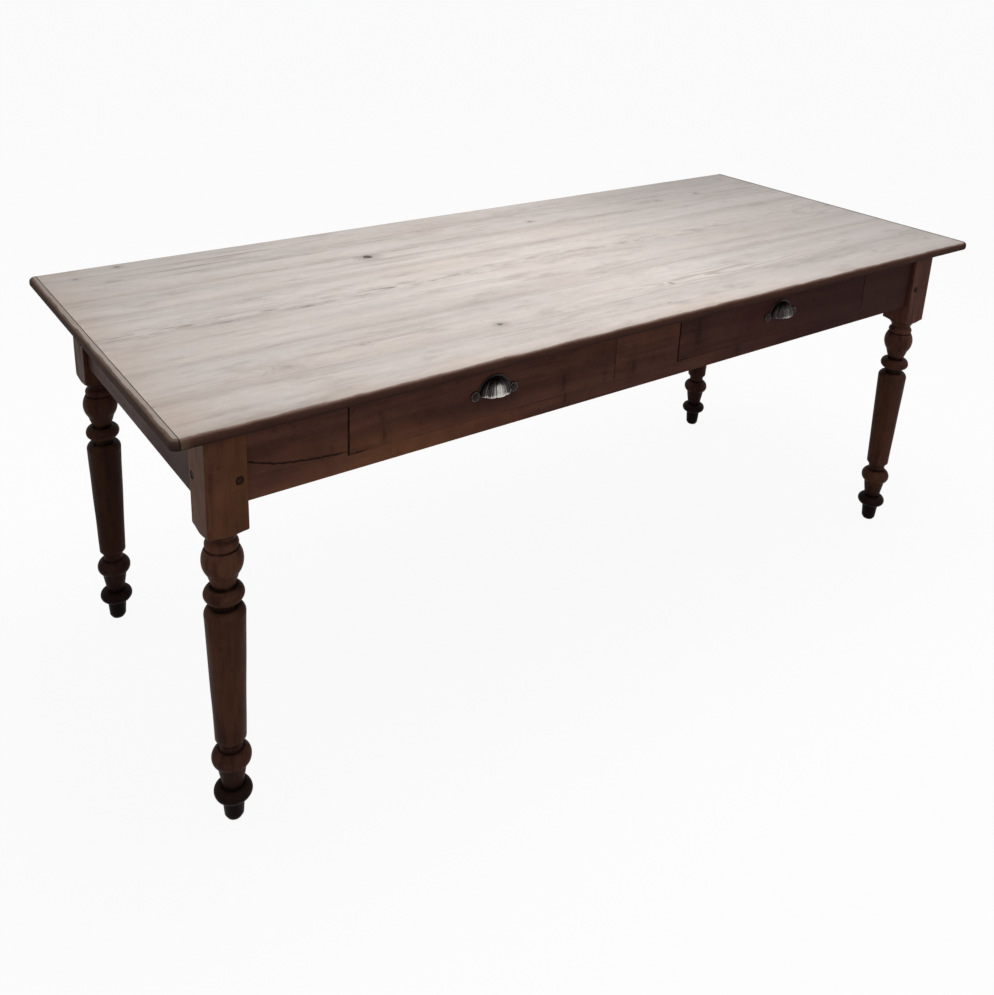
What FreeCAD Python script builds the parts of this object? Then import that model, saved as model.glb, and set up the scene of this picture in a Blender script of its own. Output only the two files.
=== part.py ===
import FreeCAD, Part
import math
import os
from collections import namedtuple
from types import SimpleNamespace

import Sketcher

# Long pine work table on four turned legs, with two drawers in the front apron.
# Frame: X along the table from left to right, Y from the front to the back, Z up.
# The origin is on the floor under the middle of the top. Lengths are millimetres.

SIZES = {
    # Whole table
    "table_length": 1964.0,
    "table_width": 803.0,
    "table_height": 770.0,
    "end_overhang": 62.5,
    "side_overhang": 47.5,
    # Play left in the joints
    "glue_gap": 0.1,
    "end_room": 1.0,
    "pin_play": 0.06,
    "overrun": 5.0,
    # Boards of the top, and the strips across their ends
    "top_thickness": 20.0,
    "front_board_width": 116.0,
    "strip_width": 13.5,
    "tongue_thickness": 7.0,
    "tongue_length": 6.0,
    "tongue_set_back": 24.0,
    "nose_upper_radius": 8.5,
    "nose_lower_radius": 7.5,
    "top_corner_radius": 12.5,
    # Leg block, which hangs down from the top, and its shoulder
    "leg_square": 67.0,
    "block_height": 204.0,
    "shoulder_rise": 21.0,
    "shoulder_middle_rise": 12.0,
    "shoulder_middle_radius": 29.0,
    "collar_radius": 22.0,
    # Turned part of the leg
    "foot_tip_radius": 13.0,
    "foot_radius": 16.5,
    "foot_rounding": 6.0,
    "foot_top_radius": 19.3,
    "ring_radius": 32.6,
    "waist_radius": 17.5,
    "quirk_radius": 19.5,
    "turned_radius": 33.3,
    "lower_neck_radius": 21.2,
    "lower_ball_foot_radius": 24.6,
    "lower_ball_end_radius": 22.3,
    "taper_start_radius": 26.0,
    "taper_end_radius": 33.4,
    "taper_shoulder_radius": 32.8,
    "taper_top_radius": 26.0,
    "upper_neck_radius": 22.1,
    "upper_ball_foot_radius": 25.5,
    "upper_ball_end_radius": 28.5,
    "score_radius": 25.5,
    "bead_radius": 27.8,
    "bead_end_radius": 22.6,
    # Aprons, with a tenon at each end
    "long_apron_height": 141.0,
    "short_apron_height": 147.0,
    "apron_thickness": 24.0,
    "apron_set_back": 9.0,
    "tenon_thickness": 10.0,
    "tenon_length": 38.0,
    "tenon_top_shoulder": 32.0,
    "tenon_foot_shoulder": 10.0,
    "peg_radius": 6.0,
    "peg_length": 40.0,
    "peg_inset": 13.0,
    "peg_rise": 44.0,
    "strip_under_drawer": 27.8,
    # Runners and stops under the drawers
    "runner_height": 20.0,
    "runner_seat_width": 26.0,
    "guide_width": 18.0,
    "guide_height": 30.0,
    "guide_play": 0.8,
    "stub_length": 9.0,
    "stub_height": 12.0,
    "stub_shoulder": 6.0,
    "stop_length": 30.0,
    "stop_width": 16.0,
    "stop_height": 14.0,
    # Cross rail between the drawers
    "cross_rail_width": 80.0,
    "cross_rail_thickness": 22.0,
    "rail_tail_length": 14.0,
    "rail_tail_neck": 46.0,
    "rail_tail_end": 60.0,
    # Buttons that hold the top down, and their screws
    "button_length": 38.0,
    "button_width": 30.0,
    "button_thickness": 22.0,
    "button_tongue_length": 9.0,
    "button_tongue_thickness": 9.0,
    "button_slot_play": 3.0,
    "button_drop": 0.5,
    "screw_radius": 2.0,
    "screw_head_radius": 4.0,
    "screw_head_height": 2.4,
    "screw_grip": 12.0,
    # Drawers
    "drawer_depth": 480.0,
    "drawer_left_gap": 4.0,
    "drawer_right_gap": 1.5,
    "drawer_top_gap": 3.0,
    "run_gap": 0.3,
    "drawer_front_thickness": 22.0,
    "drawer_side_thickness": 12.0,
    "drawer_side_height": 98.0,
    "drawer_back_thickness": 12.0,
    "drawer_bottom_thickness": 8.0,
    "drawer_groove_depth": 6.0,
    "drawer_groove_rise": 10.0,
    # Dovetails
    "front_lap": 6.0,
    "tail_width": 28.0,
    "tail_flare": 2.6,
    "half_pin_width": 8.0,
    "back_tail_width": 20.0,
    # Cup pull and its screws
    "pull_rise": 44.5,
    "right_pull_shift": 5.0,
    "cup_width": 64.0,
    "cup_height": 30.0,
    "cup_depth": 23.0,
    "cup_wall": 2.4,
    "flute_depth": 1.8,
    "cup_rim": 3.5,
    "plate_thickness": 2.0,
    "ear_spacing": 82.0,
    "ear_radius": 9.5,
    "ear_thickness": 3.0,
    "ear_hole_radius": 2.3,
    "pull_screw_radius": 2.1,
    "pull_screw_head_radius": 4.2,
    "pull_screw_head_height": 1.8,
    "pull_screw_length": 18.0,
}

FLUTE_COUNT = 9
FLUTE_POINT_COUNT = 4
CUP_STEP_COUNT = 6
STEEPEST_CUP_STEP_SHARE = 0.93
BACK_BUTTON_SHARES = (0.08, 0.36, 0.64, 0.92)
FRONT_BUTTON_SHARE = 0.45
# Widths of the first three boards from the back, of the width behind the front board
BOARD_WIDTH_SHARES = (0.2846, 0.1507, 0.3857)
# Widths along the front apron, of its length between the legs, from the left
LEFT_PANEL_SHARE = 0.1018
LEFT_OPENING_SHARE = 0.3373
MIDDLE_PANEL_SHARE = 0.0989
RIGHT_OPENING_SHARE = 0.3526
# Heights of the turning above the floor, of its height up to the shoulder
TURNING_SHARES = {
    "foot_top": 0.077,
    "lower_ring": 0.1007,
    "lower_ring_top": 0.1227,
    "lower_neck": 0.16,
    "lower_ball_foot": 0.2015,
    "lower_ball": 0.2345,
    "lower_ball_top": 0.2629,
    "taper_foot": 0.2878,
    "taper_start": 0.3036,
    "taper_end": 0.7418,
    "taper_shoulder": 0.755,
    "taper_top": 0.77,
    "upper_ring_foot": 0.79,
    "upper_ring": 0.8185,
    "upper_ring_top": 0.8379,
    "upper_neck": 0.8623,
    "upper_ball_foot": 0.8828,
    "upper_ball": 0.923,
    "upper_ball_top": 0.9528,
    "bead_foot": 0.9572,
    "bead": 0.9744,
    "bead_top": 0.993,
}
# How far out from its axis the lathe cuts the shoulder of a leg, of the square
SHOULDER_REACH_SHARE = 0.75
# How much of an edge has to lie along an axis for the edge to run along it
ALONG_SHARE = 0.5

doc = FreeCAD.newDocument("work_table")
sheet = doc.addObject("Spreadsheet::Sheet", "Sizes")


class Size:
    """A length, with its value and the sheet formula that gives it."""

    def __init__(self, value, formula):
        self.value = value
        self.formula = formula

    def __add__(self, other):
        other = as_size(other)
        return Size(self.value + other.value, f"({self.formula} + {other.formula})")

    def __radd__(self, other):
        return as_size(other) + self

    def __sub__(self, other):
        other = as_size(other)
        return Size(self.value - other.value, f"({self.formula} - {other.formula})")

    def __rsub__(self, other):
        return as_size(other) - self

    def __mul__(self, factor):
        return Size(self.value * factor, f"({self.formula} * {factor!r})")

    __rmul__ = __mul__

    def __truediv__(self, factor):
        return Size(self.value / factor, f"({self.formula} / {factor!r})")

    def __neg__(self):
        return Size(-self.value, f"(0 - {self.formula})")


def as_size(number):
    """Takes a plain zero as a size."""
    return number if isinstance(number, Size) else Size(number, repr(number))


def read_sizes():
    """Writes every size to the sheet and gives them back by name."""
    found = SimpleNamespace()
    for row, (name, value) in enumerate(SIZES.items(), start=1):
        sheet.set(f"A{row}", name)
        sheet.set(f"B{row}", str(value))
        sheet.setAlias(f"B{row}", name)
        setattr(found, name, Size(value, f"Sizes.{name}"))
    doc.recompute()
    return found


s = read_sizes()

# The sketch planes, with the side of the plane that a sketch's normal points to
PLANES = {"XY": ("XY_Plane", 1), "XZ": ("XZ_Plane", -1), "YZ": ("YZ_Plane", 1)}

Bow = namedtuple("Bow", "via to")
Circle = namedtuple("Circle", "x y radius")


def bind(thing, target, size):
    """Ties one property of an object to a size."""
    thing.setExpression(target, as_size(size).formula)


def place(thing, x=0, y=0, z=0, turn=0):
    """Puts an object at a named place, turned about the vertical by some degrees."""
    thing.Placement = FreeCAD.Placement(
        FreeCAD.Vector(*(as_size(size).value for size in (x, y, z))),
        FreeCAD.Rotation(FreeCAD.Vector(0, 0, 1), turn),
    )
    for axis, size in zip("xyz", (x, y, z)):
        bind(thing, f"Placement.Base.{axis}", size)


def point(x, y):
    """A sketch point from two sizes."""
    return FreeCAD.Vector(as_size(x).value, as_size(y).value, 0)


def hold(rules, geometry, end, x, y):
    """Adds the rules that hold a sketch point at a named place."""
    for size, kind, axis in ((x, "DistanceX", -2), (y, "DistanceY", -1)):
        if isinstance(size, Size):
            rule = Sketcher.Constraint(kind, -1, 1, geometry, end, size.value)
            rules.append((rule, size))
        else:
            rules.append((Sketcher.Constraint("PointOnObject", geometry, end, axis), None))


def draw_loop(sketch, loop, rules):
    """Draws one closed loop of straight lines and bows through held points."""
    ends = [step.to if isinstance(step, Bow) else step for step in loop]
    start = ends[-1]
    last_end = None
    first_start = None
    for step, (x, y) in zip(loop, ends):
        if isinstance(step, Bow):
            curve = Part.Arc(point(*start), point(*step.via), point(x, y))
            index = sketch.addGeometry(curve, False)
            forward = sketch.getPoint(index, 2).distanceToPoint(point(x, y)) < (
                sketch.getPoint(index, 1).distanceToPoint(point(x, y))
            )
            mark = sketch.addGeometry(Part.Point(point(*step.via)), True)
            rules.append((Sketcher.Constraint("PointOnObject", mark, 1, index), None))
            hold(rules, mark, 1, *step.via)
        else:
            index = sketch.addGeometry(Part.LineSegment(point(*start), point(x, y)), False)
            forward = True
        near, far = (1, 2) if forward else (2, 1)
        if last_end is None:
            first_start = (index, near)
        else:
            rules.append((Sketcher.Constraint("Coincident", *last_end, index, near), None))
        hold(rules, index, far, x, y)
        last_end = (index, far)
        start = (x, y)
    rules.append((Sketcher.Constraint("Coincident", *last_end, *first_start), None))


def draw(sketch, loops):
    """Draws closed loops in a sketch and ties all their points to the sheet."""
    rules = []
    for loop in loops:
        if isinstance(loop, Circle):
            centre = FreeCAD.Vector(point(loop.x, loop.y))
            ring = Part.Circle(centre, FreeCAD.Vector(0, 0, 1), loop.radius.value)
            index = sketch.addGeometry(ring, False)
            hold(rules, index, 3, loop.x, loop.y)
            rules.append((Sketcher.Constraint("Radius", index, loop.radius.value), loop.radius))
        else:
            draw_loop(sketch, loop, rules)
    first = sketch.ConstraintCount
    sketch.addConstraint([rule for rule, _ in rules])
    for number, (_, size) in enumerate(rules, start=first):
        if size is not None:
            bind(sketch, f"Constraints[{number}]", size)


def box(x_from, y_from, x_to, y_to):
    """The four corners of a rectangle."""
    return [(x_from, y_from), (x_to, y_from), (x_to, y_to), (x_from, y_to)]


class Piece:
    """One piece of the table, built up and cut by outlines on its own planes."""

    def __init__(self, label, x=0, y=0, z=0, turn=0):
        self.body = doc.addObject("PartDesign::Body", label)
        self.body.Label = label
        place(self.body, x, y, z, turn)

    def outline(self, name, plane, loops, at=0):
        """Draws loops on a plane that lies at a distance from the piece's origin."""
        role, normal = PLANES[plane]
        sketch = self.body.newObject("Sketcher::SketchObject", name + "_outline")
        planes = self.body.Origin.OriginFeatures
        sketch.AttachmentSupport = [(next(p for p in planes if p.Role == role), "")]
        sketch.MapMode = "FlatFace"
        if isinstance(at, Size):
            bind(sketch, "AttachmentOffset.Base.z", at if normal > 0 else -at)
        draw(sketch, loops)
        return sketch

    def add(self, name, plane, loops, length, at=0, way=1):
        """Pads loops from their plane, along the axis or against it."""
        sketch = self.outline(name, plane, loops, at)
        pad = self.body.newObject("PartDesign::Pad", name)
        pad.Profile = sketch
        pad.Reversed = PLANES[plane][1] != way
        bind(pad, "Length", length)
        sketch.Visibility = False
        return pad

    def cut(self, name, plane, loops, depth, at=0, way=1):
        """Cuts loops from their plane, along the axis or against it."""
        sketch = self.outline(name, plane, loops, at)
        pocket = self.body.newObject("PartDesign::Pocket", name)
        pocket.Profile = sketch
        pocket.Reversed = PLANES[plane][1] == way
        bind(pocket, "Length", depth)
        sketch.Visibility = False
        return pocket

    def turn_on_lathe(self, name, loops, kind="PartDesign::Revolution"):
        """Turns loops of radius and height about the piece's upright axis."""
        sketch = self.outline(name, "XZ", loops)
        turned = self.body.newObject(kind, name)
        turned.Profile = sketch
        turned.ReferenceAxis = (sketch, ["V_Axis"])
        turned.Angle = 360.0
        sketch.Visibility = False
        return turned

    def round_edges(self, name, radius, wanted):
        """Rounds the edges of the piece that a test picks."""
        doc.recompute()
        base = self.body.Tip
        edges = base.Shape.Edges
        picked = [f"Edge{n}" for n, edge in enumerate(edges, start=1) if wanted(edge)]
        fillet = self.body.newObject("PartDesign::Fillet", name)
        fillet.Base = (base, picked)
        bind(fillet, "Radius", radius)
        return fillet


def block(label, length, width, height, x=0, y=0, z=0, turn=0):
    """A plain rectangular block."""
    made = doc.addObject("Part::Box", label)
    bind(made, "Length", length)
    bind(made, "Width", width)
    bind(made, "Height", height)
    place(made, x, y, z, turn)
    return made


def rod(label, radius, height, x=0, y=0, z=0, lean=None):
    """A round rod that stands up, or points along the axis it leans to."""
    made = doc.addObject("Part::Cylinder", label)
    bind(made, "Radius", radius)
    bind(made, "Height", height)
    place(made, x, y, z)
    if lean is not None:
        made.Placement.Rotation = FreeCAD.Rotation(FreeCAD.Vector(0, 0, 1), FreeCAD.Vector(*lean))
    return made


def fuse(label, members):
    """Joins overlapping members into one solid."""
    made = doc.addObject("Part::MultiFuse", label)
    made.Shapes = members
    return made


def group(label, members):
    """Keeps separate solids of one kind together under one name."""
    made = doc.addObject("Part::Compound", label)
    made.Label = label
    made.Links = members
    return made


# Places that several pieces share
top_underside = s.table_height - s.top_thickness
half_length = s.table_length / 2
half_width = s.table_width / 2
half_square = s.leg_square / 2
leg_x = half_length - s.end_overhang - half_square
leg_y = half_width - s.side_overhang - half_square
shoulder_foot = top_underside - s.block_height
shoulder_top = shoulder_foot + s.shoulder_rise
shoulder_middle = shoulder_foot + s.shoulder_middle_rise
at_height = {name: shoulder_foot * share for name, share in TURNING_SHARES.items()}
turned = SimpleNamespace(**at_height)
apron_foot = top_underside - s.long_apron_height
short_apron_foot = top_underside - s.short_apron_height
apron_outside_y = leg_y + half_square - s.apron_set_back
apron_inside_y = apron_outside_y - s.apron_thickness
apron_outside_x = leg_x + half_square - s.apron_set_back
apron_inside_x = apron_outside_x - s.apron_thickness
opening_floor = apron_foot + s.strip_under_drawer
tenon_foot = apron_foot + s.tenon_foot_shoulder
tenon_top = top_underside - s.tenon_top_shoulder
tenon_middle = s.apron_set_back + s.apron_thickness / 2
peg_height = apron_foot + s.peg_rise
long_apron_half = leg_x - half_square
short_apron_half = leg_y - half_square
long_apron_length = 2 * long_apron_half
left_opening_start = -long_apron_half + long_apron_length * LEFT_PANEL_SHARE
left_opening_end = left_opening_start + long_apron_length * LEFT_OPENING_SHARE
right_opening_start = left_opening_end + long_apron_length * MIDDLE_PANEL_SHARE
right_opening_end = right_opening_start + long_apron_length * RIGHT_OPENING_SHARE
cross_rail_x = (left_opening_end + right_opening_start) / 2
runner_floor = opening_floor - s.runner_height

# The front edges of the boards, from the back board to the front board
shared_width = s.table_width - s.front_board_width
board_edges = [half_width]
for width_share in BOARD_WIDTH_SHARES:
    board_edges.append(board_edges[-1] - shared_width * width_share)
board_edges += [s.front_board_width - half_width, -half_width]
board_middles = [(rear + fore) / 2 for rear, fore in zip(board_edges, board_edges[1:])]
inner_board_middles = board_middles[1:4]

# The places of the buttons, as (distance along the apron, apron) pairs
front_button_places = [
    -long_apron_half + (left_opening_start + long_apron_half) * FRONT_BUTTON_SHARE,
    right_opening_end + (long_apron_half - right_opening_end) * (1 - FRONT_BUTTON_SHARE),
]
back_button_places = [long_apron_half * (2 * share - 1) for share in BACK_BUTTON_SHARES]
button_reach = s.button_length / 2
button_line_y = apron_inside_y - button_reach
button_line_x = apron_inside_x - button_reach

# Where screws enter the top from below, one row for each board
screws_in_boards = [
    [(x, button_line_y) for x in back_button_places],
    *[
        [(-button_line_x, y), (cross_rail_x, y), (button_line_x, y)]
        for y in inner_board_middles
    ],
    [(x, -button_line_y) for x in front_button_places],
]


def make_leg(label, x, y, turn):
    """A leg: square block with two mortises, turned below the shoulder."""
    leg = Piece(label, x, y, turn=turn)
    corner = (half_square, half_square)
    leg.add(
        "block",
        "XY",
        [box(-corner[0], -corner[1], *corner)],
        s.block_height,
        at=shoulder_foot,
    )
    reach = s.leg_square * SHOULDER_REACH_SHARE
    middle = (s.shoulder_middle_radius, shoulder_middle)
    waste = [
        (s.collar_radius, shoulder_foot),
        Bow(middle, (reach, shoulder_top)),
        (reach, shoulder_foot - s.overrun),
        (s.collar_radius, shoulder_foot - s.overrun),
    ]
    leg.turn_on_lathe("shoulder", [waste], "PartDesign::Groove")
    leg.turn_on_lathe("turning", [turned_profile()])
    cheek = s.tenon_thickness / 2 + s.glue_gap
    tenon_line = tenon_middle - half_square
    foot = tenon_foot - s.glue_gap
    head = tenon_top + s.glue_gap
    depth = s.tenon_length + s.end_room
    slot = box(tenon_line - cheek, foot, tenon_line + cheek, head)
    leg.cut("long_apron_mortise", "YZ", [slot], depth, at=half_square, way=-1)
    leg.cut("short_apron_mortise", "XZ", [slot], depth, at=half_square, way=-1)
    bore = s.peg_radius + s.pin_play
    hole = Circle(half_square - s.peg_inset, peg_height, bore)
    leg.cut("long_apron_peg_hole", "XZ", [hole], s.peg_length, at=-half_square, way=1)
    leg.cut("short_apron_peg_hole", "YZ", [hole], s.peg_length, at=-half_square, way=1)


def turned_profile():
    """Radius and height of the turning, from the foot to the shoulder."""
    ring = s.ring_radius
    waist = s.waist_radius
    ball = s.turned_radius
    quirk = s.quirk_radius
    return [
        (0, 0),
        (s.foot_tip_radius, 0),
        (s.foot_radius, s.foot_rounding),
        (s.foot_top_radius, turned.foot_top),
        Bow((ring, turned.lower_ring), (waist, turned.lower_ring_top)),
        Bow((s.lower_neck_radius, turned.lower_neck), (s.lower_ball_foot_radius, turned.lower_ball_foot)),
        Bow((ball, turned.lower_ball), (s.lower_ball_end_radius, turned.lower_ball_top)),
        (quirk, turned.lower_ball_top),
        (quirk, turned.taper_foot),
        (s.taper_start_radius, turned.taper_start),
        (s.taper_end_radius, turned.taper_end),
        Bow((s.taper_shoulder_radius, turned.taper_shoulder), (s.taper_top_radius, turned.taper_top)),
        (quirk, turned.taper_top),
        (quirk, turned.upper_ring_foot),
        Bow((ring, turned.upper_ring), (waist, turned.upper_ring_top)),
        Bow((s.upper_neck_radius, turned.upper_neck), (s.upper_ball_foot_radius, turned.upper_ball_foot)),
        Bow((ball, turned.upper_ball), (s.upper_ball_end_radius, turned.upper_ball_top)),
        (s.score_radius, turned.upper_ball_top),
        (s.score_radius, turned.bead_foot),
        Bow((s.bead_radius, turned.bead), (s.bead_end_radius, turned.bead_top)),
        (s.collar_radius, shoulder_foot),
        (0, shoulder_foot),
    ]


def make_board(label, fore, rear, screws, front_nose, back_nose):
    """A board of the top: a tongue at each end and pilot holes from below."""
    body_half = half_length - s.strip_width
    board = Piece(label, z=top_underside)
    board.add("plank", "XY", [box(-body_half, fore, body_half, rear)], s.top_thickness)
    tongue_fore = fore + s.tongue_set_back if front_nose else fore
    tongue_rear = rear - s.tongue_set_back if back_nose else rear
    tongue_foot = (s.top_thickness - s.tongue_thickness) / 2
    tongue_half = body_half + s.tongue_length
    tongue = [box(-tongue_half, tongue_fore, tongue_half, tongue_rear)]
    board.add("tongues", "XY", tongue, s.tongue_thickness, at=tongue_foot)
    bore = s.screw_radius + s.pin_play
    holes = [Circle(x, y, bore) for x, y in screws]
    board.cut("pilot_holes", "XY", holes, s.screw_grip + s.end_room, way=1)
    for nosed, edge_y in ((front_nose, fore), (back_nose, rear)):
        if nosed:
            round_long_edges(board, edge_y.value)


def runs_along(edge, axis):
    """Tells whether an edge is straight and runs along one axis."""
    size = edge.BoundBox
    spans = {"x": size.XLength, "y": size.YLength, "z": size.ZLength}
    enough = ALONG_SHARE * edge.Length
    return all((spans[name] > enough) == (name == axis) for name in spans)


def round_long_edges(piece, edge_y):
    """Rounds the upper and the lower long edge of a board into a nose."""
    near = s.glue_gap.value
    for name, radius, height in (
        ("upper_nose", s.nose_upper_radius, s.top_thickness.value),
        ("lower_nose", s.nose_lower_radius, 0),
    ):
        piece.round_edges(
            name,
            radius,
            lambda edge, height=height: runs_along(edge, "x")
            and abs(edge.CenterOfMass.y - edge_y) < near
            and abs(edge.CenterOfMass.z - height) < near,
        )


def make_end_strip(label, side):
    """The narrow strip across one end of the top, grooved for the tongues."""
    strip = Piece(label, x=side * half_length, z=top_underside)
    inner = -side * s.strip_width
    strip.add("strip", "XY", [box(0, -half_width, inner, half_width)], s.top_thickness)
    cheek = s.tongue_thickness / 2 + s.glue_gap
    middle = s.top_thickness / 2
    depth = s.tongue_length + s.end_room
    stop = half_width - s.tongue_set_back + s.glue_gap
    groove = box(-stop, middle - cheek, stop, middle + cheek)
    strip.cut("groove", "YZ", [groove], depth, at=inner, way=side)
    near = s.glue_gap.value
    strip.round_edges(
        "corners",
        s.top_corner_radius,
        lambda edge: runs_along(edge, "z") and abs(edge.CenterOfMass.x) < near,
    )
    for name, radius, height in (
        ("upper_nose", s.nose_upper_radius, s.top_thickness.value),
        ("lower_nose", s.nose_lower_radius, 0),
    ):
        strip.round_edges(
            name,
            radius,
            lambda edge, height=height: abs(edge.BoundBox.ZMin - height) < near
            and abs(edge.BoundBox.ZMax - height) < near
            and abs(edge.CenterOfMass.x - inner.value) > near,
        )


def add_tenons(apron, half):
    """Adds a tenon with its peg hole at each end of an apron."""
    cheek_at = (s.apron_thickness - s.tenon_thickness) / 2
    for side in (-1, 1):
        root = side * half
        tip = side * (half + s.tenon_length)
        end = "left" if side < 0 else "right"
        blade = box(root, tenon_foot, tip, tenon_top)
        apron.add(end + "_tenon", "XZ", [blade], s.tenon_thickness, at=cheek_at)
        hole = Circle(side * (half + s.peg_inset), peg_height, s.peg_radius + s.pin_play)
        apron.cut(end + "_peg_hole", "XZ", [hole], s.apron_thickness)


def add_button_slots(apron, places):
    """Cuts the slots for the buttons into the inside of an apron."""
    foot = top_underside - s.button_thickness - s.button_drop
    head = foot + s.button_tongue_thickness + s.button_drop
    reach = (s.button_width + s.button_slot_play) / 2
    slots = [box(x - reach, foot, x + reach, head) for x in places]
    depth = s.button_tongue_length + s.end_room
    apron.cut("button_slots", "XZ", slots, depth, at=s.apron_thickness, way=-1)


def add_runner_mortises(apron, places):
    """Cuts the stub mortises for the runners into the inside of an apron."""
    foot = runner_floor + (s.runner_height - s.stub_height) / 2 - s.glue_gap
    head = foot + s.stub_height + 2 * s.glue_gap
    reach = runner_half_width - s.stub_shoulder + s.glue_gap
    slots = [box(x - reach, foot, x + reach, head) for x in places]
    depth = s.stub_length + s.end_room
    apron.cut("runner_mortises", "XZ", slots, depth, at=s.apron_thickness, way=-1)


def add_rail_socket(apron, x):
    """Cuts the dovetail socket for the cross rail into the top of an apron."""
    neck = s.rail_tail_neck / 2 + s.glue_gap
    end = s.rail_tail_end / 2 + s.glue_gap
    inside = s.apron_thickness
    deep = inside - s.rail_tail_length - s.glue_gap
    tail = [(x - neck, inside), (x + neck, inside), (x + end, deep), (x - end, deep)]
    depth = s.cross_rail_thickness + s.glue_gap
    apron.cut("rail_socket", "XY", [tail], depth, at=top_underside, way=-1)


class Drawer:
    """One drawer, its opening and the runners that carry it."""

    def __init__(self, name, opening_start, opening_end, pull_shift=0):
        self.name = name
        self.pull_shift = pull_shift
        self.left = opening_start + s.drawer_left_gap
        self.right = opening_end - s.drawer_right_gap
        self.middle = (self.left + self.right) / 2
        self.half = (self.right - self.left) / 2
        self.foot = opening_floor + s.run_gap
        self.front_height = top_underside - s.drawer_top_gap - self.foot
        self.face_y = -apron_outside_y
        self.groove_top = s.drawer_groove_rise + s.drawer_bottom_thickness
        outer = s.guide_width + s.guide_play
        inner = s.runner_seat_width
        self.runner_places = [
            self.left + (inner - outer) / 2,
            self.right - (inner - outer) / 2,
        ]

    def tails(self, edge, tip, foot, height, width, gap):
        """Two dovetails between an edge and a line in front of it."""
        flare = s.tail_flare
        lower = foot + s.half_pin_width
        upper = foot + height - s.half_pin_width - width
        loops = []
        for start in (lower, upper):
            end = start + width
            loops.append(
                [
                    (edge, start - gap),
                    (edge, end + gap),
                    (tip, end + flare + gap),
                    (tip, start - flare - gap),
                ]
            )
        return loops

    def front_tails(self, gap):
        """The tails that enter the drawer front, with some play round them."""
        edge = s.drawer_front_thickness
        tip = s.front_lap if not isinstance(gap, Size) else s.front_lap - gap
        return self.tails(edge, tip, 0, s.drawer_side_height, s.tail_width, gap)

    def back_tails(self, gap):
        """The tails that pass through the drawer back, with some play round them."""
        edge = s.drawer_depth - s.drawer_back_thickness
        height = s.drawer_side_height - self.groove_top
        return self.tails(
            edge, s.drawer_depth, self.groove_top, height, s.back_tail_width, gap
        )

    def make(self):
        """Makes the five boards, the cup pull and its screws."""
        self.make_front()
        self.make_side("left", -1)
        self.make_side("right", 1)
        self.make_back()
        self.make_bottom()
        pull_x = self.middle + self.pull_shift
        make_cup_pull(self.name, pull_x, self.face_y, self.foot + s.pull_rise)

    def make_front(self):
        """The drawer front: sockets at its ends, a groove and screw holes."""
        front = Piece(self.name + "_drawer_front", self.middle, self.face_y, self.foot)
        face = [box(-self.half, 0, self.half, self.front_height)]
        front.add("board", "XZ", face, s.drawer_front_thickness)
        depth = s.drawer_side_thickness + s.glue_gap
        sockets = self.front_tails(s.glue_gap)
        front.cut("left_sockets", "YZ", sockets, depth, at=-self.half, way=1)
        front.cut("right_sockets", "YZ", sockets, depth, at=self.half, way=-1)
        reach = self.half - s.drawer_side_thickness + s.drawer_groove_depth + s.glue_gap
        foot = s.drawer_groove_rise - s.glue_gap
        head = self.groove_top + s.glue_gap
        slot = [box(-reach, foot, reach, head)]
        deep = s.drawer_groove_depth + s.end_room
        front.cut("groove", "XZ", slot, deep, at=s.drawer_front_thickness, way=-1)
        bore = s.pull_screw_radius + s.pin_play
        places = [side * s.ear_spacing / 2 + self.pull_shift for side in (-1, 1)]
        holes = [Circle(x, s.pull_rise, bore) for x in places]
        front.cut("screw_holes", "XZ", holes, s.pull_screw_length)

    def make_side(self, hand, side):
        """A drawer side: tails at both ends and a groove for the bottom."""
        label = f"{self.name}_drawer_{hand}_side"
        board = Piece(label, self.middle + side * self.half, self.face_y, self.foot)
        edge = s.drawer_front_thickness
        rear = s.drawer_depth - s.drawer_back_thickness
        thickness = s.drawer_side_thickness
        shape = [box(edge, 0, rear, s.drawer_side_height)]
        board.add("board", "YZ", shape, thickness, way=-side)
        board.add("front_tails", "YZ", self.front_tails(0), thickness, way=-side)
        board.add("back_tails", "YZ", self.back_tails(0), thickness, way=-side)
        heel = [box(rear, 0, s.drawer_depth, self.groove_top)]
        board.add("heel", "YZ", heel, thickness, way=-side)
        start = edge - s.drawer_groove_depth - s.glue_gap
        slot = box(start, s.drawer_groove_rise - s.glue_gap, s.drawer_depth, self.groove_top)
        inner = -side * thickness
        depth = s.drawer_groove_depth + s.glue_gap
        board.cut("groove", "YZ", [slot], depth, at=inner, way=side)

    def make_back(self):
        """The drawer back: stands on the bottom, cut for the through dovetails."""
        back = Piece(self.name + "_drawer_back", self.middle, self.face_y, self.foot)
        height = s.drawer_side_height
        shape = [box(-self.half, self.groove_top, self.half, height)]
        start = s.drawer_depth - s.drawer_back_thickness
        back.add("board", "XZ", shape, s.drawer_back_thickness, at=start)
        depth = s.drawer_side_thickness + s.glue_gap
        sockets = self.back_tails(s.glue_gap)
        back.cut("left_sockets", "YZ", sockets, depth, at=-self.half, way=1)
        back.cut("right_sockets", "YZ", sockets, depth, at=self.half, way=-1)

    def make_bottom(self):
        """The drawer bottom, held in the grooves."""
        bottom = Piece(self.name + "_drawer_bottom", self.middle, self.face_y, self.foot)
        half = self.half - s.drawer_side_thickness + s.drawer_groove_depth
        start = s.drawer_front_thickness - s.drawer_groove_depth
        panel = [box(-half, start, half, s.drawer_depth)]
        rise = s.drawer_groove_rise
        bottom.add("panel", "XY", panel, s.drawer_bottom_thickness, at=rise)

    def make_runners(self):
        """The two runners, with the guides outside the drawer."""
        for hand, side, x in zip(("left", "right"), (-1, 1), self.runner_places):
            make_runner(f"{self.name}_drawer_{hand}_runner", x, side)

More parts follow.
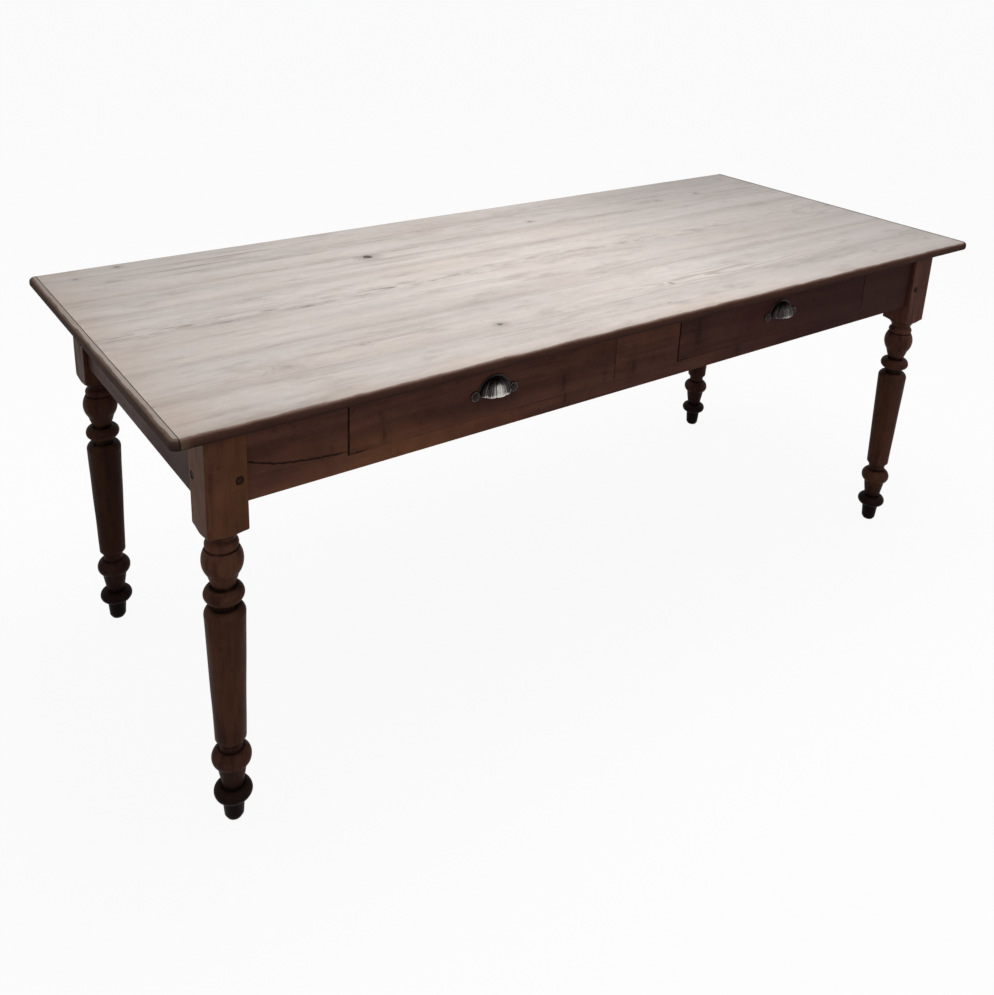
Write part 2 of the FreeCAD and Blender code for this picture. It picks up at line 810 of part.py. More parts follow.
    def stops(self):
        """The two stops that the drawer back meets when it is shut."""
        start = self.face_y + s.drawer_depth + s.run_gap
        inner = s.runner_seat_width - s.stop_width
        width = s.stop_width
        places = (self.left + inner, self.right - inner - width)
        return [
            block(f"{self.name}_stop", width, s.stop_length, s.stop_height, x, start, opening_floor)
            for x in places
        ]


runner_half_width = (s.guide_width + s.guide_play + s.runner_seat_width) / 2


def make_runner(label, x, side):
    """A runner: seat and guide in one L section, with a stub tenon at each end."""
    runner = Piece(label, x, 0, runner_floor, turn=0 if side < 0 else 180)
    half = runner_half_width
    top = s.runner_height + s.guide_height
    section = [
        (-half, 0),
        (half, 0),
        (half, s.runner_height),
        (-half + s.guide_width, s.runner_height),
        (-half + s.guide_width, top),
        (-half, top),
    ]
    reach = apron_inside_y
    runner.add("rail", "XZ", [section], 2 * reach, at=-reach)
    foot = (s.runner_height - s.stub_height) / 2
    stub_half = half - s.stub_shoulder
    stub = [box(-stub_half, foot, stub_half, foot + s.stub_height)]
    runner.add("front_stub", "XZ", stub, s.stub_length, at=-reach, way=-1)
    runner.add("back_stub", "XZ", stub, s.stub_length, at=reach, way=1)


def make_cross_rail():
    """The flat rail across the middle, dovetailed into both long aprons."""
    rail = Piece("middle_cross_rail", cross_rail_x, 0, top_underside - s.cross_rail_thickness)
    half = s.cross_rail_width / 2
    reach = apron_inside_y
    board = box(-half, -reach, half, reach)
    rail.add("board", "XY", [board], s.cross_rail_thickness)
    neck = s.rail_tail_neck / 2
    end = s.rail_tail_end / 2
    for name, side in (("front", -1), ("back", 1)):
        root = side * reach
        tip = side * (reach + s.rail_tail_length)
        tail = [(-neck, root), (neck, root), (end, tip), (-end, tip)]
        rail.add(name + "_tail", "XY", [tail], s.cross_rail_thickness)
    bore = s.screw_radius + s.pin_play
    holes = [Circle(0, y, bore) for y in inner_board_middles]
    rail.cut("screw_holes", "XY", holes, s.cross_rail_thickness)


def make_button(number, x, y, turn):
    """A button: its tongue sits in the apron and its body under the top."""
    tongue_reach = s.button_tongue_length
    body = block(
        f"button_{number}_body",
        s.button_width,
        s.button_length,
        s.button_thickness,
        -s.button_width / 2,
    )
    tongue = block(
        f"button_{number}_tongue",
        s.button_width,
        tongue_reach + s.button_length / 2,
        s.button_tongue_thickness,
        -s.button_width / 2,
        -tongue_reach,
    )
    solid = fuse(f"button_{number}_solid", [body, tongue])
    bore = s.screw_radius + s.pin_play
    hole = rod(f"button_{number}_hole", bore, s.button_thickness, 0, button_reach)
    made = doc.addObject("Part::Cut", f"button_{number}")
    made.Base = solid
    made.Tool = hole
    place(made, x, y, top_underside - s.button_thickness, turn)
    return made


def make_screw(number, x, y):
    """A screw: low round head under the button, shank up into the board."""
    foot = top_underside - s.button_thickness
    shank = rod(
        f"screw_{number}_shank", s.screw_radius, s.button_thickness + s.screw_grip, x, y, foot
    )
    head = doc.addObject("Part::Cone", f"screw_{number}_head")
    bind(head, "Radius1", s.screw_radius)
    bind(head, "Radius2", s.screw_head_radius)
    bind(head, "Height", s.screw_head_height)
    place(head, x, y, foot - s.screw_head_height)
    return fuse(f"screw_{number}", [shank, head])


def make_pegs():
    """One peg through each tenon, driven in from the outside of the legs."""
    pegs = []
    for side_x in (-1, 1):
        for side_y in (-1, 1):
            x = side_x * (leg_x - half_square + s.peg_inset)
            y = side_y * (leg_y + half_square)
            pegs.append(
                rod("long_apron_peg", s.peg_radius, s.peg_length, x, y, peg_height, (0, -side_y, 0))
            )
            x = side_x * (leg_x + half_square)
            y = side_y * (leg_y - half_square + s.peg_inset)
            pegs.append(
                rod("short_apron_peg", s.peg_radius, s.peg_length, x, y, peg_height, (-side_x, 0, 0))
            )
    group("tenon_pegs", pegs)


def cup_section(half_span, depth, height, flute):
    """A level section of the cup: a fluted half oval closed along the plate."""
    steps = FLUTE_COUNT * FLUTE_POINT_COUNT
    corners = []
    for step in range(steps + 1):
        turn = math.pi * step / steps
        lift = 1 + flute * abs(math.sin(turn * FLUTE_COUNT))
        x = -half_span * math.cos(turn) * lift
        y = -depth * math.sin(turn) * lift
        corners.append(FreeCAD.Vector(x, y, height))
    return Part.makePolygon(corners + corners[:1])


def cup_dome(half_span, depth, height, flute, foot):
    """A quarter dome: its sections shrink with height as on an oval ball."""
    sections = [cup_section(half_span, depth, foot, flute)]
    for step in range(1, CUP_STEP_COUNT + 1):
        rise = math.sin(STEEPEST_CUP_STEP_SHARE * math.pi / 2 * step / CUP_STEP_COUNT)
        spread = math.sqrt(1 - rise * rise)
        sections.append(
            cup_section(half_span * spread, depth * spread, height * rise, flute)
        )
    return Part.makeLoft(sections, True, True)


def make_cup_pull(name, x, y, z):
    """The iron cup pull: fluted dome, rim, two pierced ears and their screws.

    The origin is in the middle of the lip, and the ears are level with it.
    """
    half_span = s.cup_width.value / 2
    height = s.cup_height.value
    depth = s.cup_depth.value
    wall = s.cup_wall.value
    flute = s.flute_depth.value / half_span
    plate = s.plate_thickness.value
    ear_x = s.ear_spacing.value / 2
    back = FreeCAD.Vector(0, 1, 0)
    dome = cup_dome(half_span, depth, height, flute, 0)
    hollow = cup_dome(half_span - wall, depth - wall, height - wall, 0, 0)
    rim = cup_section_plate(half_span + s.cup_rim.value, height + s.cup_rim.value, plate)
    faces = [FreeCAD.Vector(side * ear_x, -s.ear_thickness.value, 0) for side in (-1, 1)]
    thick = s.ear_thickness.value
    ears = [Part.makeCylinder(s.ear_radius.value, thick, face, back) for face in faces]
    holes = [Part.makeCylinder(s.ear_hole_radius.value, thick, face, back) for face in faces]
    shell = dome.fuse([rim] + ears)
    pull = doc.addObject("Part::Feature", name + "_cup_pull")
    pull.Label = name + "_cup_pull"
    pull.Shape = shell.cut([hollow] + holes).removeSplitter()
    place(pull, x, y, z)
    screws = []
    for side in (-1, 1):
        screw_x = x + side * s.ear_spacing / 2
        face = y - s.ear_thickness
        shank = rod(
            name + "_pull_shank",
            s.pull_screw_radius,
            s.ear_thickness + s.pull_screw_length - s.end_room,
            screw_x,
            face,
            z,
            (0, 1, 0),
        )
        head = rod(
            name + "_pull_head",
            s.pull_screw_head_radius,
            s.pull_screw_head_height,
            screw_x,
            face - s.pull_screw_head_height,
            z,
            (0, 1, 0),
        )
        screws.append(fuse(name + "_pull_screw", [shank, head]))
    group(name + "_pull_screws", screws)


def cup_section_plate(half_span, height, thickness):
    """The flat rim behind the dome: half an oval, standing on its straight edge."""
    steps = FLUTE_COUNT * FLUTE_POINT_COUNT
    corners = [
        FreeCAD.Vector(
            -half_span * math.cos(math.pi * step / steps),
            0,
            height * math.sin(math.pi * step / steps),
        )
        for step in range(steps + 1)
    ]
    face = Part.Face(Part.makePolygon(corners + corners[:1]))
    return face.extrude(FreeCAD.Vector(0, -thickness, 0))


def make_top():
    """The five boards and the two end strips."""
    labels = (
        "back_top_board",
        "second_top_board",
        "middle_top_board",
        "fourth_top_board",
        "front_top_board",
    )
    for number, label in enumerate(labels):
        make_board(
            label,
            board_edges[number + 1],
            board_edges[number],
            screws_in_boards[number],
            front_nose=number == len(labels) - 1,
            back_nose=number == 0,
        )
    make_end_strip("left_end_strip", -1)
    make_end_strip("right_end_strip", 1)


def make_aprons(drawers):
    """The four aprons, tenoned into the legs."""
    runner_places = [x for drawer in drawers for x in drawer.runner_places]
    outline = [
        (-long_apron_half, apron_foot),
        (long_apron_half, apron_foot),
        (long_apron_half, top_underside),
        (right_opening_end, top_underside),
        (right_opening_end, opening_floor),
        (right_opening_start, opening_floor),
        (right_opening_start, top_underside),
        (left_opening_end, top_underside),
        (left_opening_end, opening_floor),
        (left_opening_start, opening_floor),
        (left_opening_start, top_underside),
        (-long_apron_half, top_underside),
    ]
    front = Piece("front_apron", y=-apron_outside_y)
    front.add("board", "XZ", [outline], s.apron_thickness)
    add_tenons(front, long_apron_half)
    add_button_slots(front, front_button_places)
    add_runner_mortises(front, runner_places)
    add_rail_socket(front, cross_rail_x)

    back = Piece("back_apron", y=apron_outside_y, turn=180)
    plain = box(-long_apron_half, apron_foot, long_apron_half, top_underside)
    back.add("board", "XZ", [plain], s.apron_thickness)
    add_tenons(back, long_apron_half)
    add_button_slots(back, [-x for x in back_button_places])
    add_runner_mortises(back, [-x for x in runner_places])
    add_rail_socket(back, -cross_rail_x)

    for label, side, turn in (("left_apron", -1, -90), ("right_apron", 1, 90)):
        apron = Piece(label, x=side * apron_outside_x, turn=turn)
        short = box(-short_apron_half, short_apron_foot, short_apron_half, top_underside)
        apron.add("board", "XZ", [short], s.apron_thickness)
        add_tenons(apron, short_apron_half)
        add_button_slots(apron, [side * y for y in inner_board_middles])


def make_legs():
    """The four legs, each turned so that its mortises face the aprons."""
    for label, side_x, side_y, turn in (
        ("front_left_leg", -1, -1, 0),
        ("front_right_leg", 1, -1, 90),
        ("back_right_leg", 1, 1, 180),
        ("back_left_leg", -1, 1, 270),
    ):
        make_leg(label, side_x * leg_x, side_y * leg_y, turn)


def make_fixings():
    """The buttons round the aprons, and every screw that enters the top."""
    places = [(x, -apron_inside_y, 0) for x in front_button_places]
    places += [(x, apron_inside_y, 180) for x in back_button_places]
    places += [(-apron_inside_x, y, 270) for y in inner_board_middles]
    places += [(apron_inside_x, y, 90) for y in inner_board_middles]
    group("top_buttons", [make_button(n, *place_) for n, place_ in enumerate(places)])
    screws = [spot for row in screws_in_boards for spot in row]
    group("top_screws", [make_screw(n, x, y) for n, (x, y) in enumerate(screws)])


def check_objects():
    """Stops on a failed object, or on a cut that took nothing away."""
    doc.recompute()
    for thing in doc.Objects:
        if "Invalid" in thing.State or "Error" in thing.State:
            raise RuntimeError(f"{thing.Label} failed: {thing.State}")
        if thing.TypeId in ("PartDesign::Pocket", "PartDesign::Groove"):
            if thing.Shape.Volume >= thing.BaseFeature.Shape.Volume:
                raise RuntimeError(f"{thing.Label} of {thing.BaseFeature.Label} cuts nothing")


def export_pieces():
    """Writes each finished piece to its own file."""
    os.makedirs("parts", exist_ok=True)
    used = {link.Name for thing in doc.Objects for link in thing.OutList}
    for thing in doc.Objects:
        kinds = ("PartDesign::Body", "Part::Compound", "Part::Feature")
        if thing.TypeId not in kinds or thing.Name in used:
            continue
        shape = thing.Shape
        if shape.isNull() or not shape.isValid():
            raise RuntimeError(f"{thing.Label} has no valid shape")
        shape.exportStep(f"parts/{thing.Label}.step")
        print(thing.Label, len(shape.Solids), round(shape.Volume))


drawers = [
    Drawer("left", left_opening_start, left_opening_end),
    Drawer("right", right_opening_start, right_opening_end, s.right_pull_shift),
]
make_top()
make_legs()
make_aprons(drawers)
make_pegs()
make_cross_rail()
make_fixings()
for drawer in drawers:
    drawer.make()
    drawer.make_runners()
group("drawer_stops", [stop for drawer in drawers for stop in drawer.stops()])
check_objects()
export_pieces()
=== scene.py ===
"""The dressed work table: a scrubbed pine top on a dark stained base with two drawers.

Lengths are metres in the table's own frame: X runs along the table, Y from the front
to the back, Z up from the floor, and the origin is under the middle of the top.
"""
import logging
import math
from dataclasses import dataclass
from enum import Enum
from functools import cached_property

import bmesh
import bpy
import numpy as np
from mathutils import Matrix, Vector


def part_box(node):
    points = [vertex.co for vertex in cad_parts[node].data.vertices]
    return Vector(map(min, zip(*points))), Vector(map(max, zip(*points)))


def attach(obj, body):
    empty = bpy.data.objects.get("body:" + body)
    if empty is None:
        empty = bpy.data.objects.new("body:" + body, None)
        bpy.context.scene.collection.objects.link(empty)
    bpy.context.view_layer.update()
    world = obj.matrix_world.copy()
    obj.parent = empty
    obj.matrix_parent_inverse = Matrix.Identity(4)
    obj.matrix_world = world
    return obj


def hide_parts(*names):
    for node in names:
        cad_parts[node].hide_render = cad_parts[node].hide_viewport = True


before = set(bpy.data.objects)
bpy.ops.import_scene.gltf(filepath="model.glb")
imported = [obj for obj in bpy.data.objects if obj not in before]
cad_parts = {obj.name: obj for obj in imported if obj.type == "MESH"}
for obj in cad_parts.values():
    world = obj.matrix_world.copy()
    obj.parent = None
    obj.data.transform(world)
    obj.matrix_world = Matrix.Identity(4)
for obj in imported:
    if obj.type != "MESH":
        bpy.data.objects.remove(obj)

Socket = bpy.types.NodeSocket
Colour = tuple[float, float, float, float]
Spot = tuple[float, float, float]
Pair = tuple[float, float]

MM = 0.001
FULL_TURN = 2 * math.pi
QUARTER_TURN = math.pi / 2
SAME_POINT = 2e-6  # Points nearer together than this count as one.
CRISP_ANGLE = math.radians(38)  # Edges that turn by more stay sharp.
FLAT_ANGLE = math.radians(0.5)  # Faces that turn by less lie in one plane.
WEAR = "wear"  # Name of the attribute that holds how worn a point is.
EVEN_WEAR = 0.5  # Wear of a piece that is given none.

log = logging.getLogger("table")


class Body(Enum):
    """The parts of the table that move by themselves."""

    TABLE = "table"
    LEFT_DRAWER = "left_drawer"
    RIGHT_DRAWER = "right_drawer"


class Slot(Enum):
    """The finishes that the record names."""

    PINE = "scrubbed_pine"
    STAINED = "dark_stained_wood"
    RAW = "raw_pine"
    IRON = "dark_iron"
    STEEL = "steel_screws"


class Along(Enum):
    """Which axis a board's length follows, as the order of length, width and depth."""

    X = ("X", "Y", "Z")
    Y = ("Y", "X", "Z")
    Z = ("Z", "X", "Y")


def srgb(red: int, green: int, blue: int) -> Colour:
    """Turns a colour as a screen shows it into the linear colour that light needs.

    Args:
        red: Red from 0 to 255.
        green: Green from 0 to 255.
        blue: Blue from 0 to 255.

    Returns:
        The linear colour with full opacity.
    """
    parts = [channel / 255 for channel in (red, green, blue)]
    linear = [p / 12.92 if p <= 0.04045 else ((p + 0.055) / 1.055) ** 2.4 for p in parts]
    return (*linear, 1.0)


def shade(colour: Colour, factor: float) -> Colour:
    """The colour made darker or lighter by a factor."""
    return (*(part * factor for part in colour[:3]), 1.0)


class Wander:
    """Smooth unevenness: a sum of sine waves that run in seeded directions.

    Args:
        seed: Number that fixes the waves.
        lengths: Typical wave length along X, Y and Z.
        waves: How many waves are added up.
    """

    def __init__(self, seed: int, lengths: Spot, waves: int = 9) -> None:
        draw = np.random.default_rng(seed)
        spread = draw.uniform(0.6, 1.7, (waves, 3)) * draw.choice((-1, 1), (waves, 3))
        self.turns = FULL_TURN * spread / np.array(lengths)
        self.starts = draw.uniform(0, FULL_TURN, waves)

    def at(self, points: np.ndarray) -> np.ndarray:
        """Formula: the sum of sin(wave . point + start) over the root of the count.

        Args:
            points: Points, with X, Y and Z in the last axis.

        Returns:
            One value for each point, mostly between -1 and 1.
        """
        phase = points @ self.turns.T + self.starts
        return np.sin(phase).sum(axis=-1) / math.sqrt(len(self.starts))


def dents(points: np.ndarray, centres: np.ndarray, reach: np.ndarray, depth: np.ndarray) -> np.ndarray:
    """How deep each point lies in a set of round dents.

    Formula: the sum over the dents of depth times e to the minus squared distance
    over squared reach.

    Args:
        points: Points, with X, Y and Z in the last axis.
        centres: One centre for each dent.
        reach: One radius for each dent.
        depth: One depth for each dent.

    Returns:
        The depth at each point.
    """
    total = np.zeros(points.shape[:-1])
    for centre, radius, deep in zip(centres, reach, depth):
        squared = ((points - centre) ** 2).sum(axis=-1)
        total += deep * np.exp(-squared / radius**2)
    return total


def ease(low: float, high: float, value: np.ndarray) -> np.ndarray:
    """A smooth step: 0 below low, 1 above high, and 3t^2 - 2t^3 between them."""
    t = np.clip((value - low) / (high - low), 0, 1)
    return t * t * (3 - 2 * t)


def bell(value: np.ndarray, middle: float, reach: float) -> np.ndarray:
    """A smooth bump: e to the minus squared distance from the middle over squared reach."""
    return np.exp(-(((value - middle) / reach) ** 2))


def skin(name: str, grids: list[np.ndarray], wear: list[np.ndarray] | None = None) -> bpy.types.Object:
    """Makes one object from grids of points whose columns run round and close.

    Args:
        name: Name of the piece.
        grids: Arrays of rows by columns by 3.
        wear: For each grid, how worn each point is, from 0 to 1.

    Returns:
        The object, smooth with crisp edges, its faces outward.
    """
    corners, faces, worn, first = [], [], [], 0
    for number, grid in enumerate(grids):
        rows, columns = grid.shape[:2]
        index = first + np.arange(rows * columns).reshape(rows, columns)
        index = np.concatenate([index, index[:, :1]], axis=1)
        quads = np.stack([index[:-1, :-1], index[:-1, 1:], index[1:, 1:], index[1:, :-1]], -1)
        corners.append(grid.reshape(-1, 3))
        faces.append(quads.reshape(-1, 4))
        worn.append(np.full(rows * columns, EVEN_WEAR) if wear is None else wear[number].ravel())
        first += rows * columns
    points = np.concatenate(corners)
    loops = np.concatenate(faces)
    mesh = bpy.data.meshes.new(name)
    mesh.vertices.add(len(points))
    mesh.vertices.foreach_set("co", points.ravel())
    mesh.loops.add(loops.size)
    mesh.loops.foreach_set("vertex_index", loops.ravel())
    mesh.polygons.add(len(loops))
    mesh.polygons.foreach_set("loop_start", np.arange(0, loops.size, 4))
    mesh.update(calc_edges=True)
    layer = mesh.attributes.new(WEAR, "FLOAT", "POINT")
    layer.data.foreach_set("value", np.concatenate(worn))
    close(mesh)
    return placed(name, mesh)


def close(mesh: bpy.types.Mesh) -> None:
    """Merges doubled points, turns every face outward and keeps sharp edges crisp.

    Args:
        mesh: The mesh to mend.
    """
    work = bmesh.new()
    work.from_mesh(mesh)
    bmesh.ops.remove_doubles(work, verts=work.verts, dist=SAME_POINT)
    bmesh.ops.dissolve_degenerate(work, edges=work.edges, dist=SAME_POINT)
    bmesh.ops.recalc_face_normals(work, faces=work.faces)
    work.to_mesh(mesh)
    work.free()
    mesh.shade_smooth()
    mesh.set_sharp_from_angle(angle=CRISP_ANGLE)


def placed(name: str, data: bpy.types.ID) -> bpy.types.Object:
    """Puts an object with the given mesh, camera or lamp into the scene.

    Args:
        name: Name of the object.
        data: What it holds.

    Returns:
        The object, at the origin.
    """
    thing = bpy.data.objects.new(name, data)
    bpy.context.scene.collection.objects.link(thing)
    return thing


def capped(grid: np.ndarray, wear: np.ndarray) -> tuple[np.ndarray, np.ndarray]:
    """Closes a grid by drawing a further row together in the middle of each end.

    Args:
        grid: Rows of points.
        wear: How worn each point is.

    Returns:
        The points and their wear, two rows longer.
    """
    grid = np.concatenate([pole(grid[0])[None], grid, pole(grid[-1])[None]])
    return grid, np.concatenate([wear[:1], wear, wear[-1:]])


def pole(row: np.ndarray) -> np.ndarray:
    """A row of the same length, drawn together in the middle of the given row."""
    return np.broadcast_to(row.mean(axis=0), row.shape)


def span(start: float, end: float, step: float) -> np.ndarray:
    """Evenly spaced values from start to end, no further apart than the step."""
    return np.linspace(start, end, max(2, math.ceil(abs(end - start) / step) + 1))


def rounded_loop(low: Pair, high: Pair, radii: list[float], step: float) -> np.ndarray:
    """The outline of a rectangle with a round of its own at each corner.

    Formula: each corner is the centre of its round plus the radius times the cosine
    and sine of an angle that turns by a quarter, and straight lines join the rounds.

    Args:
        low: Lowest corner.
        high: Highest corner.
        radii: Radii at the four corners, from the lowest one, anticlockwise.
        step: Longest distance between points on a straight side.

    Returns:
        The points of the closed outline, anticlockwise.
    """
    (left, bottom), (right, top) = low, high
    corners = ((left, bottom, 1, 1), (right, bottom, -1, 1), (right, top, -1, -1), (left, top, 1, -1))
    arcs = []
    for number, ((x, y, way_x, way_y), radius) in enumerate(zip(corners, radii)):
        count = 5 if radius < MM else 17
        angle = np.linspace(0, QUARTER_TURN, count) + math.pi + number * QUARTER_TURN
        centre = np.array([x + way_x * radius, y + way_y * radius])
        arcs.append(centre + radius * np.stack([np.cos(angle), np.sin(angle)], -1))
    sides = []
    for arc, following in zip(arcs, arcs[1:] + arcs[:1]):
        gap = np.linalg.norm(following[0] - arc[-1])
        share = np.linspace(0, 1, max(2, math.ceil(gap / step) + 1))[1:-1, None]
        sides += [arc, arc[-1] * (1 - share) + following[0] * share]
    return np.concatenate(sides)


def revolved(outline: np.ndarray, count: int) -> np.ndarray:
    """An outline turned about an axis that points to the front.

    Formula: x = radius cos a, y = minus the height, z = radius sin a.

    Args:
        outline: Pairs of radius and height.
        count: Points round the axis.

    Returns:
        One row of points for each pair.
    """
    angle = np.linspace(0, FULL_TURN, count, endpoint=False)
    radius, height = outline[:, :1], outline[:, 1:]
    rows = np.broadcast_arrays(radius * np.cos(angle), -height, radius * np.sin(angle))
    return np.stack(rows, -1)


def carve(piece: bpy.types.Object, cutter: bpy.types.Object) -> None:
    """Cuts one object's shape out of another for good, and deletes the cutter.

    Args:
        piece: The object that is cut.
        cutter: The object whose shape comes out.
    """
    cut = piece.modifiers.new("carve", "BOOLEAN")
    cut.operation = "DIFFERENCE"
    cut.solver = "EXACT"
    cut.object = cutter
    bpy.context.view_layer.update()
    seen = piece.evaluated_get(bpy.context.evaluated_depsgraph_get())
    carved = bpy.data.meshes.new_from_object(seen)
    piece.modifiers.clear()
    piece.data = carved
    bpy.data.objects.remove(cutter)


def settle(
    piece: bpy.types.Object, body: Body, slot: Slot, coats: list[bpy.types.Material], nodes: list[str]
) -> bpy.types.Object:
    """Gives a piece its finish and its place in the table.

    Args:
        piece: The object.
        body: The body that it moves with.
        slot: The record's name for its finish.
        coats: Its materials, in the order of the mesh's material numbers.
        nodes: The construction nodes that it stands for.

    Returns:
        The same object.
    """
    piece.data.materials.clear()
    for coat in coats:
        piece.data.materials.append(coat)
    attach(piece, body.value)
    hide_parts(*nodes)
    log.info("%s: %d faces, rides on %s, %s", piece.name, len(piece.data.polygons), body.value, slot.value)
    return piece


@dataclass(frozen=True)
class Feed:
    """Something that varies over a surface.

    Attributes:
        graph: The node tree that it belongs to.
        socket: The socket that gives it.
    """

    graph: "Graph"
    socket: Socket


class Level(Feed):
    """A single level; arithmetic on it adds nodes to its tree."""

    def __add__(self, other: "Number") -> "Level":
        """This level plus another."""
        return self.graph.math("ADD", self, other)

    def __sub__(self, other: "Number") -> "Level":
        """This level less another."""
        return self.graph.math("SUBTRACT", self, other)

    def __rsub__(self, other: float) -> "Level":
        """A number less this level."""
        return self.graph.math("SUBTRACT", other, self)

    def __mul__(self, other: "Number") -> "Level":
        """This level times another."""
        return self.graph.math("MULTIPLY", self, other)

    def __truediv__(self, other: float) -> "Level":
        """This level over a number."""
        return self.graph.math("DIVIDE", self, other)

    def __abs__(self) -> "Level":
        """This level without its sign."""
        return self.graph.math("ABSOLUTE", self)

    def exponential(self) -> "Level":
        """e to the power of this level."""
        return self.graph.math("EXPONENT", self)

    def fraction(self) -> "Level":
        """What is left of this level past its whole number."""
        return self.graph.math("FRACT", self)

    def or_more(self, other: "Number") -> "Level":
        """The greater of this level and another."""
        return self.graph.math("MAXIMUM", self, other)

    def rise(self, low: float, high: float, top: float = 1.0) -> "Level":
        """A smooth step from 0 to top.

        Args:
            low: Where this level gives 0; it may lie above high.
            high: Where it gives top.
            top: The most that it gives.

        Returns:
            The level of the step.
        """
        inputs = {"Value": self, "From Min": low, "From Max": high, "To Min": 0.0, "To Max": top}
        node = self.graph.add("MapRange", inputs, interpolation_type="SMOOTHSTEP")
        return Level(self.graph, node.outputs[0])


Number = float | Level


class Triple(Feed):
    """Three levels that go together: a colour, or the X, Y and Z of a place or a way."""

    def __add__(self, other: "Triple | Spot") -> "Triple":
        """The sum, axis by axis."""
        return self.graph.vector("ADD", self, other)

    def __sub__(self, other: "Triple | Spot") -> "Triple":
        """The difference, axis by axis."""
        return self.graph.vector("SUBTRACT", self, other)

    def __mul__(self, factor: Number) -> "Triple":
        """All three times one factor."""
        node = self.graph.add("VectorMath", {0: self, "Scale": factor}, operation="SCALE")
        return Triple(self.graph, node.outputs["Vector"])

    def stretched(self, factors: Spot) -> "Triple":
        """Each axis times a factor of its own."""
        return self.graph.vector("MULTIPLY", self, factors)

    def towards(self, colour: "Triple | Colour", share: Number) -> "Triple":
        """This colour, turning to another one as the share grows from 0 to 1."""
        return self.graph.mix(share, self, colour)

    def split(self) -> tuple[Level, ...]:
        """The three levels by themselves."""
        node = self.graph.add("SeparateXYZ", {0: self})
        return tuple(Level(self.graph, socket) for socket in node.outputs)

    def length(self) -> Level:
        """The distance from the origin."""
        node = self.graph.add("VectorMath", {0: self}, operation="LENGTH")
        return Level(self.graph, node.outputs["Value"])

    def dot(self, way: Spot) -> Level:
        """How far it points along a way."""
        node = self.graph.add("VectorMath", {0: self, 1: way}, operation="DOT_PRODUCT")
        return Level(self.graph, node.outputs["Value"])


@dataclass(frozen=True)
class Cloud:
    """A cloudy pattern.

    Attributes:
        pace: How fast it changes along each axis, in clouds to a metre.
        detail: How many finer layers lie over it.
        rough: How strong those layers are.
        shift: Moves it away from the other patterns of the same piece.
    """

    pace: Spot
    detail: float = 3.0
    rough: float = 0.55
    shift: float = 0.0


